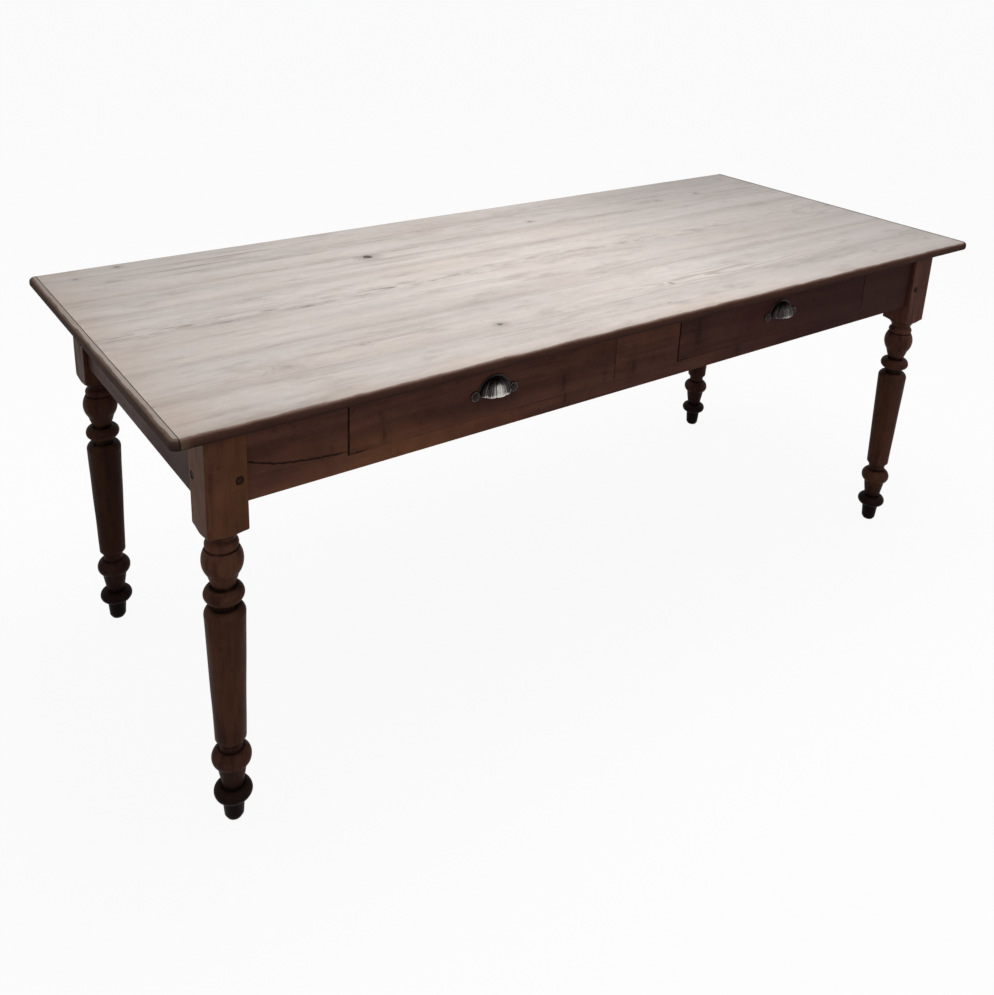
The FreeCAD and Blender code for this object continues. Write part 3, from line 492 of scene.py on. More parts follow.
class Graph:
    """The node tree of a material or of a world.

    Args:
        owner: The material or the world.
    """

    def __init__(self, owner: bpy.types.Material | bpy.types.World) -> None:
        owner.use_nodes = True
        self.owner = owner
        self.tree = owner.node_tree
        self.tree.nodes.clear()

    @cached_property
    def place(self) -> Triple:
        """Where a point of the surface lies, in the table's frame."""
        return Triple(self, self.add("TexCoord").outputs["Object"])

    @cached_property
    def facing(self) -> Triple:
        """The way that the surface faces there."""
        return Triple(self, self.add("TexCoord").outputs["Normal"])

    def add(self, kind: str, inputs: dict | None = None, **options: object) -> bpy.types.Node:
        """Adds a node, sets its options and feeds its inputs.

        Args:
            kind: The node's type, without its prefix.
            inputs: Levels, triples, sockets or values, by the input's name or number.
            options: Settings of the node.

        Returns:
            The new node.
        """
        node = self.tree.nodes.new("ShaderNode" + kind)
        for key, value in options.items():
            setattr(node, key, value)
        for key, value in (inputs or {}).items():
            source = value.socket if isinstance(value, Feed) else value
            if isinstance(source, Socket):
                self.tree.links.new(source, node.inputs[key])
            else:
                node.inputs[key].default_value = source
        return node

    def math(self, operation: str, *values: Number) -> Level:
        """One step of arithmetic on levels."""
        node = self.add("Math", dict(enumerate(values)), operation=operation)
        return Level(self, node.outputs[0])

    def vector(self, operation: str, *values: Triple | Spot) -> Triple:
        """One step of arithmetic on triples."""
        node = self.add("VectorMath", dict(enumerate(values)), operation=operation)
        return Triple(self, node.outputs["Vector"])

    def join(self, x: Number, y: Number, z: Number) -> Triple:
        """A triple made of three levels."""
        return Triple(self, self.add("CombineXYZ", {0: x, 1: y, 2: z}).outputs[0])

    def mix(self, share: Number, first: Triple | Colour, second: Triple | Colour) -> Triple:
        """The first colour, turning to the second as the share grows from 0 to 1."""
        factor, colour_a, colour_b, colour_out = 0, 6, 7, 2
        node = self.add("Mix", {factor: share, colour_a: first, colour_b: second}, data_type="RGBA")
        return Triple(self, node.outputs[colour_out])

    def noise(self, cloud: Cloud, seed: float, place: Triple | None) -> bpy.types.Node:
        """Adds the noise of a cloudy pattern.

        Args:
            cloud: The pattern.
            seed: Moves it further, so that no two pieces are alike.
            place: Where to read it, or None for the point of the surface.

        Returns:
            The noise node.
        """
        shift = seed + cloud.shift
        spot = (place or self.place).stretched(cloud.pace) + (shift, shift, shift)
        inputs = {"Vector": spot, "Scale": 1.0, "Detail": cloud.detail, "Roughness": cloud.rough}
        return self.add("TexNoise", inputs)

    def cloudy(self, cloud: Cloud, seed: float = 0.0, place: Triple | None = None) -> Level:
        """A cloudy level about 0.5; the arguments are those of noise."""
        return Level(self, self.noise(cloud, seed, place).outputs[0])

    def drift(self, cloud: Cloud, seed: float = 0.0, place: Triple | None = None) -> Triple:
        """Three cloudy levels about 0; the arguments are those of noise."""
        return Triple(self, self.noise(cloud, seed, place).outputs[1]) - (0.5, 0.5, 0.5)

    def worn(self, rub: float | None = None) -> Number:
        """The even wear that is given, or the mesh's own where it is None."""
        if rub is not None:
            return rub
        return Level(self, self.add("Attribute", attribute_name=WEAR).outputs["Fac"])

    def looked_at(self) -> Level:
        """1 for rays from the camera and for those off or through shiny things, else 0."""
        rays = self.add("LightPath").outputs
        kinds = ("Is Camera Ray", "Is Glossy Ray", "Is Transmission Ray")
        camera, glossy, clear = (Level(self, rays[kind]) for kind in kinds)
        return camera.or_more(glossy.or_more(clear))

    def finish(
        self,
        colour: Triple,
        rough: Level,
        height: Level,
        depth: float,
        specular: float = 0.5,
        metal: float = 0.0,
    ) -> bpy.types.Material:
        """Joins colour, roughness and relief in the shader that ends the tree.

        Args:
            colour: Base colour.
            rough: Roughness.
            height: Relief from 0 to 1.
            depth: How deep the relief is.
            specular: How strongly the surface mirrors.
            metal: 1 for metal, 0 for wood.

        Returns:
            The material.
        """
        relief = self.add("Bump", {"Height": height, "Distance": depth, "Strength": 1.0})
        shader = self.add("BsdfPrincipled", {
            "Base Color": colour, "Roughness": rough, "Normal": relief.outputs[0],
            "Specular IOR Level": specular, "Metallic": metal,
        })
        self.add("OutputMaterial", {"Surface": shader.outputs[0]})
        return self.owner


@dataclass(frozen=True)
class Knot:
    """A knot, where a branch left the log.

    Attributes:
        place: Its middle, as X, Y and Z.
        radius: Radius of the dark middle.
        dark: How dark it is, from 0 to 1.
        stretch: How much longer it is along the board than across.
        flat: How much shallower it is than wide, as a factor on its depth.
        push: How far it pushes the year rings aside, in radii.
        hold: How soon that push dies away with the squared distance in radii.
        core: Where its dark middle ends and where it is full, in radii.
        halo: The same for the shade round it.
        halo_dark: How dark that shade is beside the middle.
    """

    place: Spot
    radius: float
    dark: float
    stretch: float = 1.3
    flat: float = 0.3
    push: float = 1.1
    hold: float = 0.12
    core: Pair = (1.3, 0.3)
    halo: Pair = (3.4, 0.9)
    halo_dark: float = 0.3


@dataclass(frozen=True)
class Cut:
    """How one board lies in the log that it was cut from.

    Attributes:
        along: The axis that its length follows.
        middle: A point in the middle of the board.
        heart: How far sideways and in depth the heart of the log lies from there.
        seed: Moves every pattern, so that no two boards are alike.
        ring: Width of one year's growth.
        sway: How far the rings wander.
        taper: How much the log thins over a metre, which draws the rings out into
            pointed arches along the heart.
        arches: How dark those arches are.
        knots: The knots in the board, and dark marks drawn the same way: smudges, and a painted shadow in the
            gap under a drawer front.
    """

    along: Along
    middle: Spot
    heart: Pair
    seed: float
    ring: float = 3.6 * MM
    sway: float = 0.012
    taper: float = 0.004
    arches: float = 0.12
    knots: tuple[Knot, ...] = ()


@dataclass
class Grain:
    """The patterns of one board, each a level from 0 to 1.

    Attributes:
        rings: The thin dark late part of each year's growth.
        streaks: Broad bands along the board.
        fibre: Fine lines along the board.
        clouds: Patches a hand or more across.
        knots: How deep in a knot a point lies.
        crest: How near the line lies where the heart is just under the surface.
    """

    rings: Level
    streaks: Level
    fibre: Level
    clouds: Level
    knots: Number
    crest: Level


# The patterns of the grain run along a board's length, width and depth.
HEART_DRIFT = Cloud((2.2, 7.0, 7.0), 2.0, 0.5)
KNOT_EDGE = Cloud((95.0, 95.0, 95.0), 3.0, 0.5)
UNEVEN_YEARS = Cloud((4.0, 60.0, 60.0), 2.0)
STREAKS = Cloud((1.5, 26.0, 26.0), 5.0, 0.6, 5.0)
FIBRE = Cloud((14.0, 900.0, 900.0), 2.0, shift=9.0)
CLOUDS = Cloud((2.4, 6.5, 6.5), 3.0, shift=13.0)
RAGGED_RADII = 1.6  # How far the edge of a knot strays, in radii.
STRAY_YEARS = 1.2  # How far a ring strays, in years.
LATE_WOOD = (0.35, 0.85)  # Share of a year where its dark line begins and where it is full.
NEW_YEAR = (1.0, 0.9)  # Share where that line ends and from which on it fades.
HEART_WIDTH = (0.035, 0.004)  # How far from the heart its crest ends and where it is full.


def grow(graph: Graph, cut: Cut) -> Grain:
    """Lays the growth of a log over a board.

    Formula: the years are the distance from the log's wandering heart over the width
    of a year; the dark line is where the fraction of a year nears its end. Round a
    knot the distance swells by e to the minus squared distance from the knot, so the
    lines flow round it.

    Args:
        graph: The material being built.
        cut: How the board lies in its log.

    Returns:
        The board's patterns.
    """
    axes = dict(zip("XYZ", (graph.place - cut.middle).split()))
    length, width, depth = (axes[name] for name in cut.along.value)
    local = graph.join(length, width, depth)
    wander = graph.drift(HEART_DRIFT, cut.seed, local)
    sway = (wander * (2 * cut.sway)).split()
    side = width - cut.heart[0] + sway[1]
    deep = depth - cut.heart[1] + sway[2]
    reach = length * cut.taper + graph.join(side, deep, 0.0).length()
    ragged = graph.drift(KNOT_EDGE) * RAGGED_RADII
    knots = 0.0
    for knot in cut.knots:
        squash = [1 / knot.radius] * 3
        squash["XYZ".index(cut.along.value[0])] /= knot.stretch
        squash["XYZ".index(cut.along.value[2])] *= knot.flat
        far = ((graph.place - knot.place).stretched(tuple(squash)) + ragged).length()
        reach = (far * far * -knot.hold).exponential() * (knot.push * knot.radius) + reach
        halo = far.rise(*knot.halo, knot.halo_dark * knot.dark)
        knots = far.rise(*knot.core, knot.dark).or_more(halo).or_more(knots)
    years = reach / cut.ring + graph.cloudy(UNEVEN_YEARS, cut.seed, local) * STRAY_YEARS
    part = years.fraction()
    return Grain(
        rings=part.rise(*LATE_WOOD) * part.rise(*NEW_YEAR),
        streaks=graph.cloudy(STREAKS, cut.seed, local + wander * 0.03),
        fibre=graph.cloudy(FIBRE, cut.seed, local),
        clouds=graph.cloudy(CLOUDS, cut.seed, local),
        knots=knots,
        crest=abs(side).rise(*HEART_WIDTH),
    )


@dataclass(frozen=True)
class Nose:
    """How the pale upper face turns to brown stain on a rounded edge.

    Attributes:
        start: How level the surface is, as the rise of its normal, where the brown starts.
        full: The same where the brown covers the wood.
        rim: The pale brown where the stain is rubbed thin.
        upper: The brown of the upper round.
        lower: The brown of the lower round: stain, darker than the upper brown as painted shade.
    """

    start: float
    full: float
    rim: Colour
    upper: Colour
    lower: Colour


FRONT_NOSE = Nose(0.992, 0.8, srgb(130, 108, 97), srgb(80, 54, 46), srgb(60, 39, 34))
STRIP_NOSE = Nose(0.9995, 0.9, srgb(112, 94, 84), srgb(74, 57, 50), srgb(46, 34, 30))


@dataclass(frozen=True)
class ScrubbedPine:
    """Bare pine, scrubbed pale, with brown stain left on its rounded edges.

    Attributes:
        pale: The wood itself.
        grey: Its broad streaks.
        warm: Its warmer patches.
        tan: Where hands have soiled it.
        cool: A cooler cast towards the right.
        line: Year rings, long bands and blotches.
        knot: Knots.
        chip: Wood that shows where the stain of a nose is rubbed off.
        under: The underside.
        dirt_and_shade: Dirt in the seams, and painted shade on the faces under the nose.
        strip_shade: How much darker the end strips are, as a factor.
        end_edge: Distances along X between which the stain of a nose sets in.
        side_edge: The same along Y.
        soiled_front: Y where hands begin to soil the top and where they soil it most.
        soiled_left: The same along X.
        cool_right: X where the cool cast begins and where it is full.
        dim_back: Y where the top begins to darken as painted shade and where it is darkest.
        seam_reach: How far from a seam its dirt ends and where it is full.
        nose_seam_reach: The same where a seam crosses the nose.
        mottle: Fine cloudiness.
        patch: Unevenness of the stain's border.
        blotch: Dull blotches.
        clear: Where the year rings show more clearly.
        broken: Breaks in the pointed arches.
        band_sway: How the long bands wander.
        bands: The long bands.
        hand: Unevenness of the soiled places.
    """

    pale: Colour = srgb(209, 201, 196)
    grey: Colour = srgb(186, 179, 174)
    warm: Colour = srgb(203, 190, 180)
    tan: Colour = srgb(192, 171, 154)
    cool: Colour = srgb(168, 164, 162)
    line: Colour = srgb(136, 123, 114)
    knot: Colour = srgb(70, 56, 51)
    chip: Colour = srgb(130, 109, 88)
    under: Colour = srgb(84, 62, 48)
    dirt_and_shade: Colour = srgb(44, 34, 30)
    strip_shade: float = 0.74
    end_edge: Pair = (0.970, 0.972)
    side_edge: Pair = (0.375, 0.385)
    soiled_front: Pair = (-0.24, -0.35)
    soiled_left: Pair = (-0.76, -0.93)
    cool_right: Pair = (0.1, 0.7)
    dim_back: Pair = (0.05, 0.3)
    seam_reach: Pair = (1.2 * MM, 0.4 * MM)
    nose_seam_reach: Pair = (1.8 * MM, 0.6 * MM)
    mottle: Cloud = Cloud((34.0, 80.0, 80.0), 6.0, 0.7, 29.0)
    patch: Cloud = Cloud((16.0, 16.0, 60.0), 6.0, 0.65, 3.0)
    blotch: Cloud = Cloud((7.0, 26.0, 26.0), 5.0, 0.65, 5.0)
    clear: Cloud = Cloud((2.4, 9.0, 9.0), 4.0, shift=21.0)
    broken: Cloud = Cloud((22.0, 40.0, 40.0), shift=23.0)
    band_sway: Cloud = Cloud((3.0, 3.0, 3.0), 3.0, 0.5)
    bands: Cloud = Cloud((2.6, 62.0, 62.0), 5.0, 0.6, 27.0)
    hand: Cloud = Cloud((5.0, 9.0, 9.0), 4.0, shift=3.3)

    def coat(
        self, name: str, cut: Cut, nose: Nose, half_width: float, seam: float, banding: float = 0.28
    ) -> bpy.types.Material:
        """Makes the material of one board of the top.

        Args:
            name: Name of the material.
            cut: How the board lies in its log.
            nose: How its rounded edge is stained.
            half_width: Half the board's width.
            seam: Distance from the middle along X where dirt lies in a seam.
            banding: How dark its long bands are.

        Returns:
            The material.
        """
        graph = Graph(bpy.data.materials.new(name))
        grain = grow(graph, cut)
        x, y, _ = graph.place.split()
        _, _, lean = graph.facing.split()
        mottle = graph.cloudy(self.mottle, cut.seed)
        body = self.figure(graph, cut, grain, mottle, banding)
        body = self.handled(graph, body, mottle, cut, half_width)
        body = body.towards(self.knot, grain.knots)
        body = body.towards(self.line, graph.cloudy(self.blotch, cut.seed).rise(0.52, 0.72, 0.3))
        tilt = (graph.cloudy(self.patch, cut.seed) - 0.5) * lean.rise(1.0, 0.97, 0.5) + lean
        brown = graph.mix(tilt.rise(0.9, 0.45), nose.rim, nose.upper)
        # The lower round takes the darker brown: stain with painted shade.
        brown = brown.towards(nose.lower, tilt.rise(0.3, -0.45))
        brown = brown * (mottle * 0.7 + 0.65)
        brown = brown.towards(self.chip, graph.worn().rise(0.62, 1.0, 0.75))
        outer = abs(x).rise(*self.end_edge).or_more(abs(y).rise(*self.side_edge))
        body = body.towards(brown, tilt.rise(nose.start, nose.full) * outer)
        # Painted shade: faces that look down, under the nose, turn dark.
        body = body.towards(self.dirt_and_shade, lean.rise(-0.35, -0.8, 0.7))
        body = body.towards(self.under, lean.rise(-0.9, -0.98))
        off = abs(abs(x) - seam)
        body = body.towards(self.dirt_and_shade, off.rise(*self.seam_reach, 0.75))
        body = body.towards(self.dirt_and_shade, off.rise(*self.nose_seam_reach, 0.9) * lean.rise(0.9, 0.6))
        rough = grain.streaks * 0.2 + 0.6
        relief = grain.fibre - grain.rings * 0.35
        return graph.finish(body, rough, relief, 0.35 * MM, specular=0.03)

    def figure(self, graph: Graph, cut: Cut, grain: Grain, mottle: Level, banding: float) -> Triple:
        """The scrubbed wood's own figure: streaks, year rings, long bands and mottling.

        Args:
            graph: The material being built.
            cut: How the board lies in its log.
            grain: The board's patterns.
            mottle: Fine cloudiness.
            banding: How dark the long bands are.

        Returns:
            The colour.
        """
        body = graph.mix(grain.streaks.rise(0.35, 0.75, 0.7), self.pale, self.grey)
        body = body.towards(self.warm, grain.clouds.rise(0.46, 0.72, 0.45))
        clear = graph.cloudy(self.clear, cut.seed).rise(0.45, 0.7)
        broken = graph.cloudy(self.broken, cut.seed).rise(0.4, 0.62)
        strength = (clear * 0.35 + 0.04).or_more(grain.crest * broken * cut.arches)
        body = body.towards(self.line, grain.rings * strength)
        swayed = graph.place + graph.drift(self.band_sway) * 0.03
        body = body.towards(self.line, graph.cloudy(self.bands, cut.seed, swayed).rise(0.54, 0.76, banding))
        body = body * (mottle * 0.3 + 0.86)
        return body * (grain.fibre * 0.12 + 0.94)

    def handled(self, graph: Graph, body: Triple, mottle: Level, cut: Cut, half_width: float) -> Triple:
        """Tans the board where hands and dirt reach it, near the front and the left end.

        Args:
            graph: The material being built.
            body: The board's colour.
            mottle: A level that breaks up the border.
            cut: How the board lies in its log.
            half_width: Half the board's width.

        Returns:
            The colour, greyer beside the seams, cooler to the right and darker towards
            the ends and the back of the table as well.
        """
        x, y, _ = graph.place.split()
        hand = graph.cloudy(self.hand)
        spread = hand * 0.16 + mottle * 0.03
        front = (y + spread).rise(*self.soiled_front, 0.5)
        left = (x + spread).rise(*self.soiled_left, 0.55)
        body = body.towards(self.tan, front.or_more(left))
        lies_across = cut.along is Along.Y
        rim = abs(x - cut.middle[0] if lies_across else y - cut.middle[1])
        soiled = (hand * 0.03 + rim).rise(half_width - 6 * MM, half_width + 22 * MM, 0.22)
        body = body.towards(self.line, soiled)
        body = body.towards(self.cool, (x + spread).rise(*self.cool_right, 0.4))
        if lies_across:
            body = body * self.strip_shade
        # Painted shade: the top darkens towards its ends and its back, as if less light fell there.
        body = body * (x * x * -0.15 + 1.04)
        return body * (1.0 - y.rise(*self.dim_back, 0.12))


@dataclass(frozen=True)
class Split:
    """The natural split in the front apron.

    Formula: it lies where the height is the level plus the climb times e to the minus
    distance from its start over the reach.

    Attributes:
        start: X at the left leg, where it begins.
        level: Height that it comes down to.
        climb: How much higher it begins.
        reach: Distance over which it comes down.
        fray: How far it strays from its line.
        width: How far from its line it ends and where it is full.
        faint: X where it ends, at the left drawer.
        clear: X from which on it shows in full.
    """

    start: float = -0.855
    level: float = 0.641
    climb: float = 0.038
    reach: float = 0.075
    fray: float = 0.014
    width: Pair = (2.6 * MM, 0.6 * MM)
    faint: float = -0.66
    clear: float = -0.70

    def drawn(self, graph: Graph, flecks: Level) -> Level:
        """Draws the split on a stained piece.

        Args:
            graph: The material being built.
            flecks: A level that frays the line.

        Returns:
            A level that is near 1 on the split and 0 beside it.
        """
        x, _, z = graph.place.split()
        fall = ((x - self.start) * (-1 / self.reach)).exponential()
        off = abs(z - ((flecks - 0.5) * self.fray + (fall * self.climb + self.level)))
        return off.rise(*self.width, 0.9) * x.rise(self.faint, self.clear)


@dataclass(frozen=True)
class StainedWood:
    """Old dark brown stain and wax over pine, rubbed lighter on the edges.

    Attributes:
        deep: The stain itself.
        middle: Its broad lighter streaks.
        warm: Its warmer patches.
        red: Its redder patches.
        plum: The cast of the right side and of the legs' dark veils.
        olive_and_sheen: The legs' yellower veils, partly wood colour and partly painted sheen.
        worn: Rubbed edges.
        grime_and_shade: Dark in the hollows, dirt in knots and on the feet, and under the top a painted
            shadow that is partly dirt.
        raw: The unstained back of a board.
        patch: Patches of stain.
        smudge: Uneven wax.
        flecks: Small flecks of wear.
        veil: Long veils on the turned legs.
        shadow_under_top: Heights between which the painted shadow under the top, partly dirt, gathers.
        feet: Heights between which the grime of the feet gathers, downward.
        light_left: X where the flat pieces begin to lighten and where they are lightest.
        plum_right: X where their plum cast begins and where it is full.
    """

    deep: Colour = srgb(61, 38, 33)
    middle: Colour = srgb(84, 54, 46)
    warm: Colour = srgb(101, 66, 46)
    red: Colour = srgb(66, 33, 31)
    plum: Colour = srgb(48, 23, 24)
    olive_and_sheen: Colour = srgb(88, 60, 34)
    worn: Colour = srgb(116, 84, 62)
    grime_and_shade: Colour = srgb(22, 15, 14)
    raw: Colour = srgb(128, 98, 70)
    patch: Cloud = Cloud((6.0, 6.0, 10.0), 5.0, 0.6, 40.0)
    smudge: Cloud = Cloud((24.0, 24.0, 30.0), 6.0, 0.7, 60.0)
    flecks: Cloud = Cloud((45.0, 45.0, 45.0), 4.0, 0.65, 50.0)
    veil: Cloud = Cloud((38.0, 38.0, 5.0), 4.0, 0.6, 70.0)
    shadow_under_top: Pair = (0.715, 0.75)
    feet: Pair = (0.15, 0.05)
    light_left: Pair = (-0.35, -0.75)
    plum_right: Pair = (-0.1, 0.6)

    def coat(
        self,
        name: str,
        cut: Cut,
        tone: float = 0.5,
        rub: float | None = None,
        inside: Spot | None = None,
        turned: float = 0.0,
        split: Split | None = None,
        light: float = 1.0,
    ) -> bpy.types.Material:
        """Makes the material of one stained piece.

        Args:
            name: Name of the material.
            cut: How the piece lies in its log.
            tone: From 0, redder and darker, to 1, warmer and lighter.
            rub: Even wear from 0 to 1, or None to read the mesh's own wear.
            inside: The way that the unstained back of the piece faces.
            turned: Height below which a leg is turned, or 0 for a flat piece.
            split: The natural split that shows on it.
            light: How light the stain is, times the usual.

        Returns:
            The material.
        """
        graph = Graph(bpy.data.materials.new(name))
        grain = grow(graph, cut)
        x, _, z = graph.place.split()
        patch = graph.cloudy(self.patch, cut.seed)
        flecks = graph.cloudy(self.flecks, cut.seed)
        body = graph.mix(grain.streaks.rise(0.32, 0.7), self.deep, self.middle)
        body = body.towards(self.warm, grain.clouds.rise(0.62 - 0.3 * tone, 0.95 - 0.3 * tone, 0.8))
        body = body.towards(self.red, patch.rise(0.42 + 0.3 * tone, 0.8 + 0.2 * tone, 0.8))
        body = body * (grain.rings * -0.06 + 1.0)
        body = body * (grain.fibre * 0.1 + 0.95)
        body = body * (graph.cloudy(self.smudge, cut.seed) * 0.8 + 0.6)
        body = body * (light * (0.8 + 0.26 * tone))
        if not turned:
            body = body * (x.rise(*self.light_left, 0.15) + 1.0)
            body = body.towards(self.plum, x.rise(*self.plum_right, 0.75))
        # Knots, smudges, and on a drawer front a painted shadow in the gap beneath it.
        body = body.towards(self.grime_and_shade, grain.knots)
        worn = (flecks - 0.5) * 0.9 + graph.worn(rub)
        body = body.towards(self.worn, worn.rise(0.66, 1.2, 0.6))
        body = body.towards(self.grime_and_shade, worn.rise(0.42, 0.05, 0.85))
        if turned:
            veil = graph.cloudy(self.veil, cut.seed)
            body = body.towards(self.plum, veil.rise(0.5, 0.68, 0.6))
            # Olive veils: partly wood colour, partly painted sheen.
            body = body.towards(self.olive_and_sheen, veil.rise(0.48, 0.34, 0.55))
            height = patch * 0.03 + z
            body = body.towards(self.grime_and_shade, height.rise(turned + 0.03, turned - 0.12, 0.5))
            body = body.towards(self.grime_and_shade, height.rise(*self.feet, 0.95))
        # Painted shadow, partly dirt: the stain darkens just below the top.
        body = body.towards(self.grime_and_shade, z.rise(*self.shadow_under_top, 0.45))
        if split:
            body = body.towards(self.grime_and_shade, split.drawn(graph, flecks))
        if inside:
            aged = graph.mix(grain.streaks.rise(0.3, 0.7), self.raw, shade(self.raw, 0.72))
            body = body.towards(aged, graph.facing.dot(inside).rise(0.6, 0.8))
        rough = patch * 0.3 + 0.28
        relief = flecks * 0.7 + grain.fibre * 0.5
        return graph.finish(body, rough, relief, 0.3 * MM, specular=0.02)


@dataclass(frozen=True)
class RawPine:
    """Unfinished pine inside the table, browned by age.

    Attributes:
        light: The wood itself.
        dark: Its darker streaks.
        line: Its year rings.
        knot: Its knots.
    """

    light: Colour = srgb(178, 142, 102)
    dark: Colour = srgb(138, 103, 70)
    line: Colour = srgb(104, 74, 48)
    knot: Colour = srgb(66, 42, 28)

    def coat(self, name: str, cut: Cut) -> bpy.types.Material:
        """Makes the material of one unfinished piece.

        Args:
            name: Name of the material.
            cut: How the piece lies in its log.

        Returns:
            The material.
        """
        graph = Graph(bpy.data.materials.new(name))
        grain = grow(graph, cut)
        body = graph.mix(grain.streaks.rise(0.3, 0.7), self.light, self.dark)
        body = body.towards(self.line, grain.rings * 0.5)
        body = body * (grain.fibre * 0.2 + 0.9)
        body = body.towards(self.knot, grain.knots)
        return graph.finish(body, grain.clouds * 0.2 + 0.62, grain.fibre, 0.3 * MM, specular=0.35)


@dataclass(frozen=True)
class Metal:
    """Old metal: dark in its hollows, bare and bright where fingers rub it.

    Attributes:
        dark: The metal in the hollows.
        bright: The rubbed metal.
        rough: How rough it is on average.
        spots: Its fine uneven spots.
    """

    dark: Colour
    bright: Colour
    rough: float = 0.42
    spots: Cloud = Cloud((320.0, 320.0, 320.0), 4.0, 0.6)

    def coat(self, name: str, rub: float | None = None) -> bpy.types.Material:
        """Makes the metal's material.

        Args:
            name: Name of the material.
            rub: Even wear from 0 to 1, or None to read the mesh's own wear.

        Returns:
            The material.
        """
        graph = Graph(bpy.data.materials.new(name))
        spots = graph.cloudy(self.spots)
        worn = (spots - 0.5) * 0.5 + graph.worn(rub)
        body = graph.mix(worn.rise(0.32, 0.85), self.dark, self.bright)
        return graph.finish(body, spots * 0.3 + (self.rough - 0.15), spots, 0.12 * MM, metal=1.0)


PINE = ScrubbedPine()
STAIN = StainedWood()
RAW = RawPine()
# On the cup pulls the bright iron also serves for painted highlights.
IRON = Metal(dark=srgb(52, 46, 45), bright=srgb(196, 191, 186))
STEEL = Metal(dark=srgb(46, 38, 34), bright=srgb(104, 96, 90), rough=0.5)


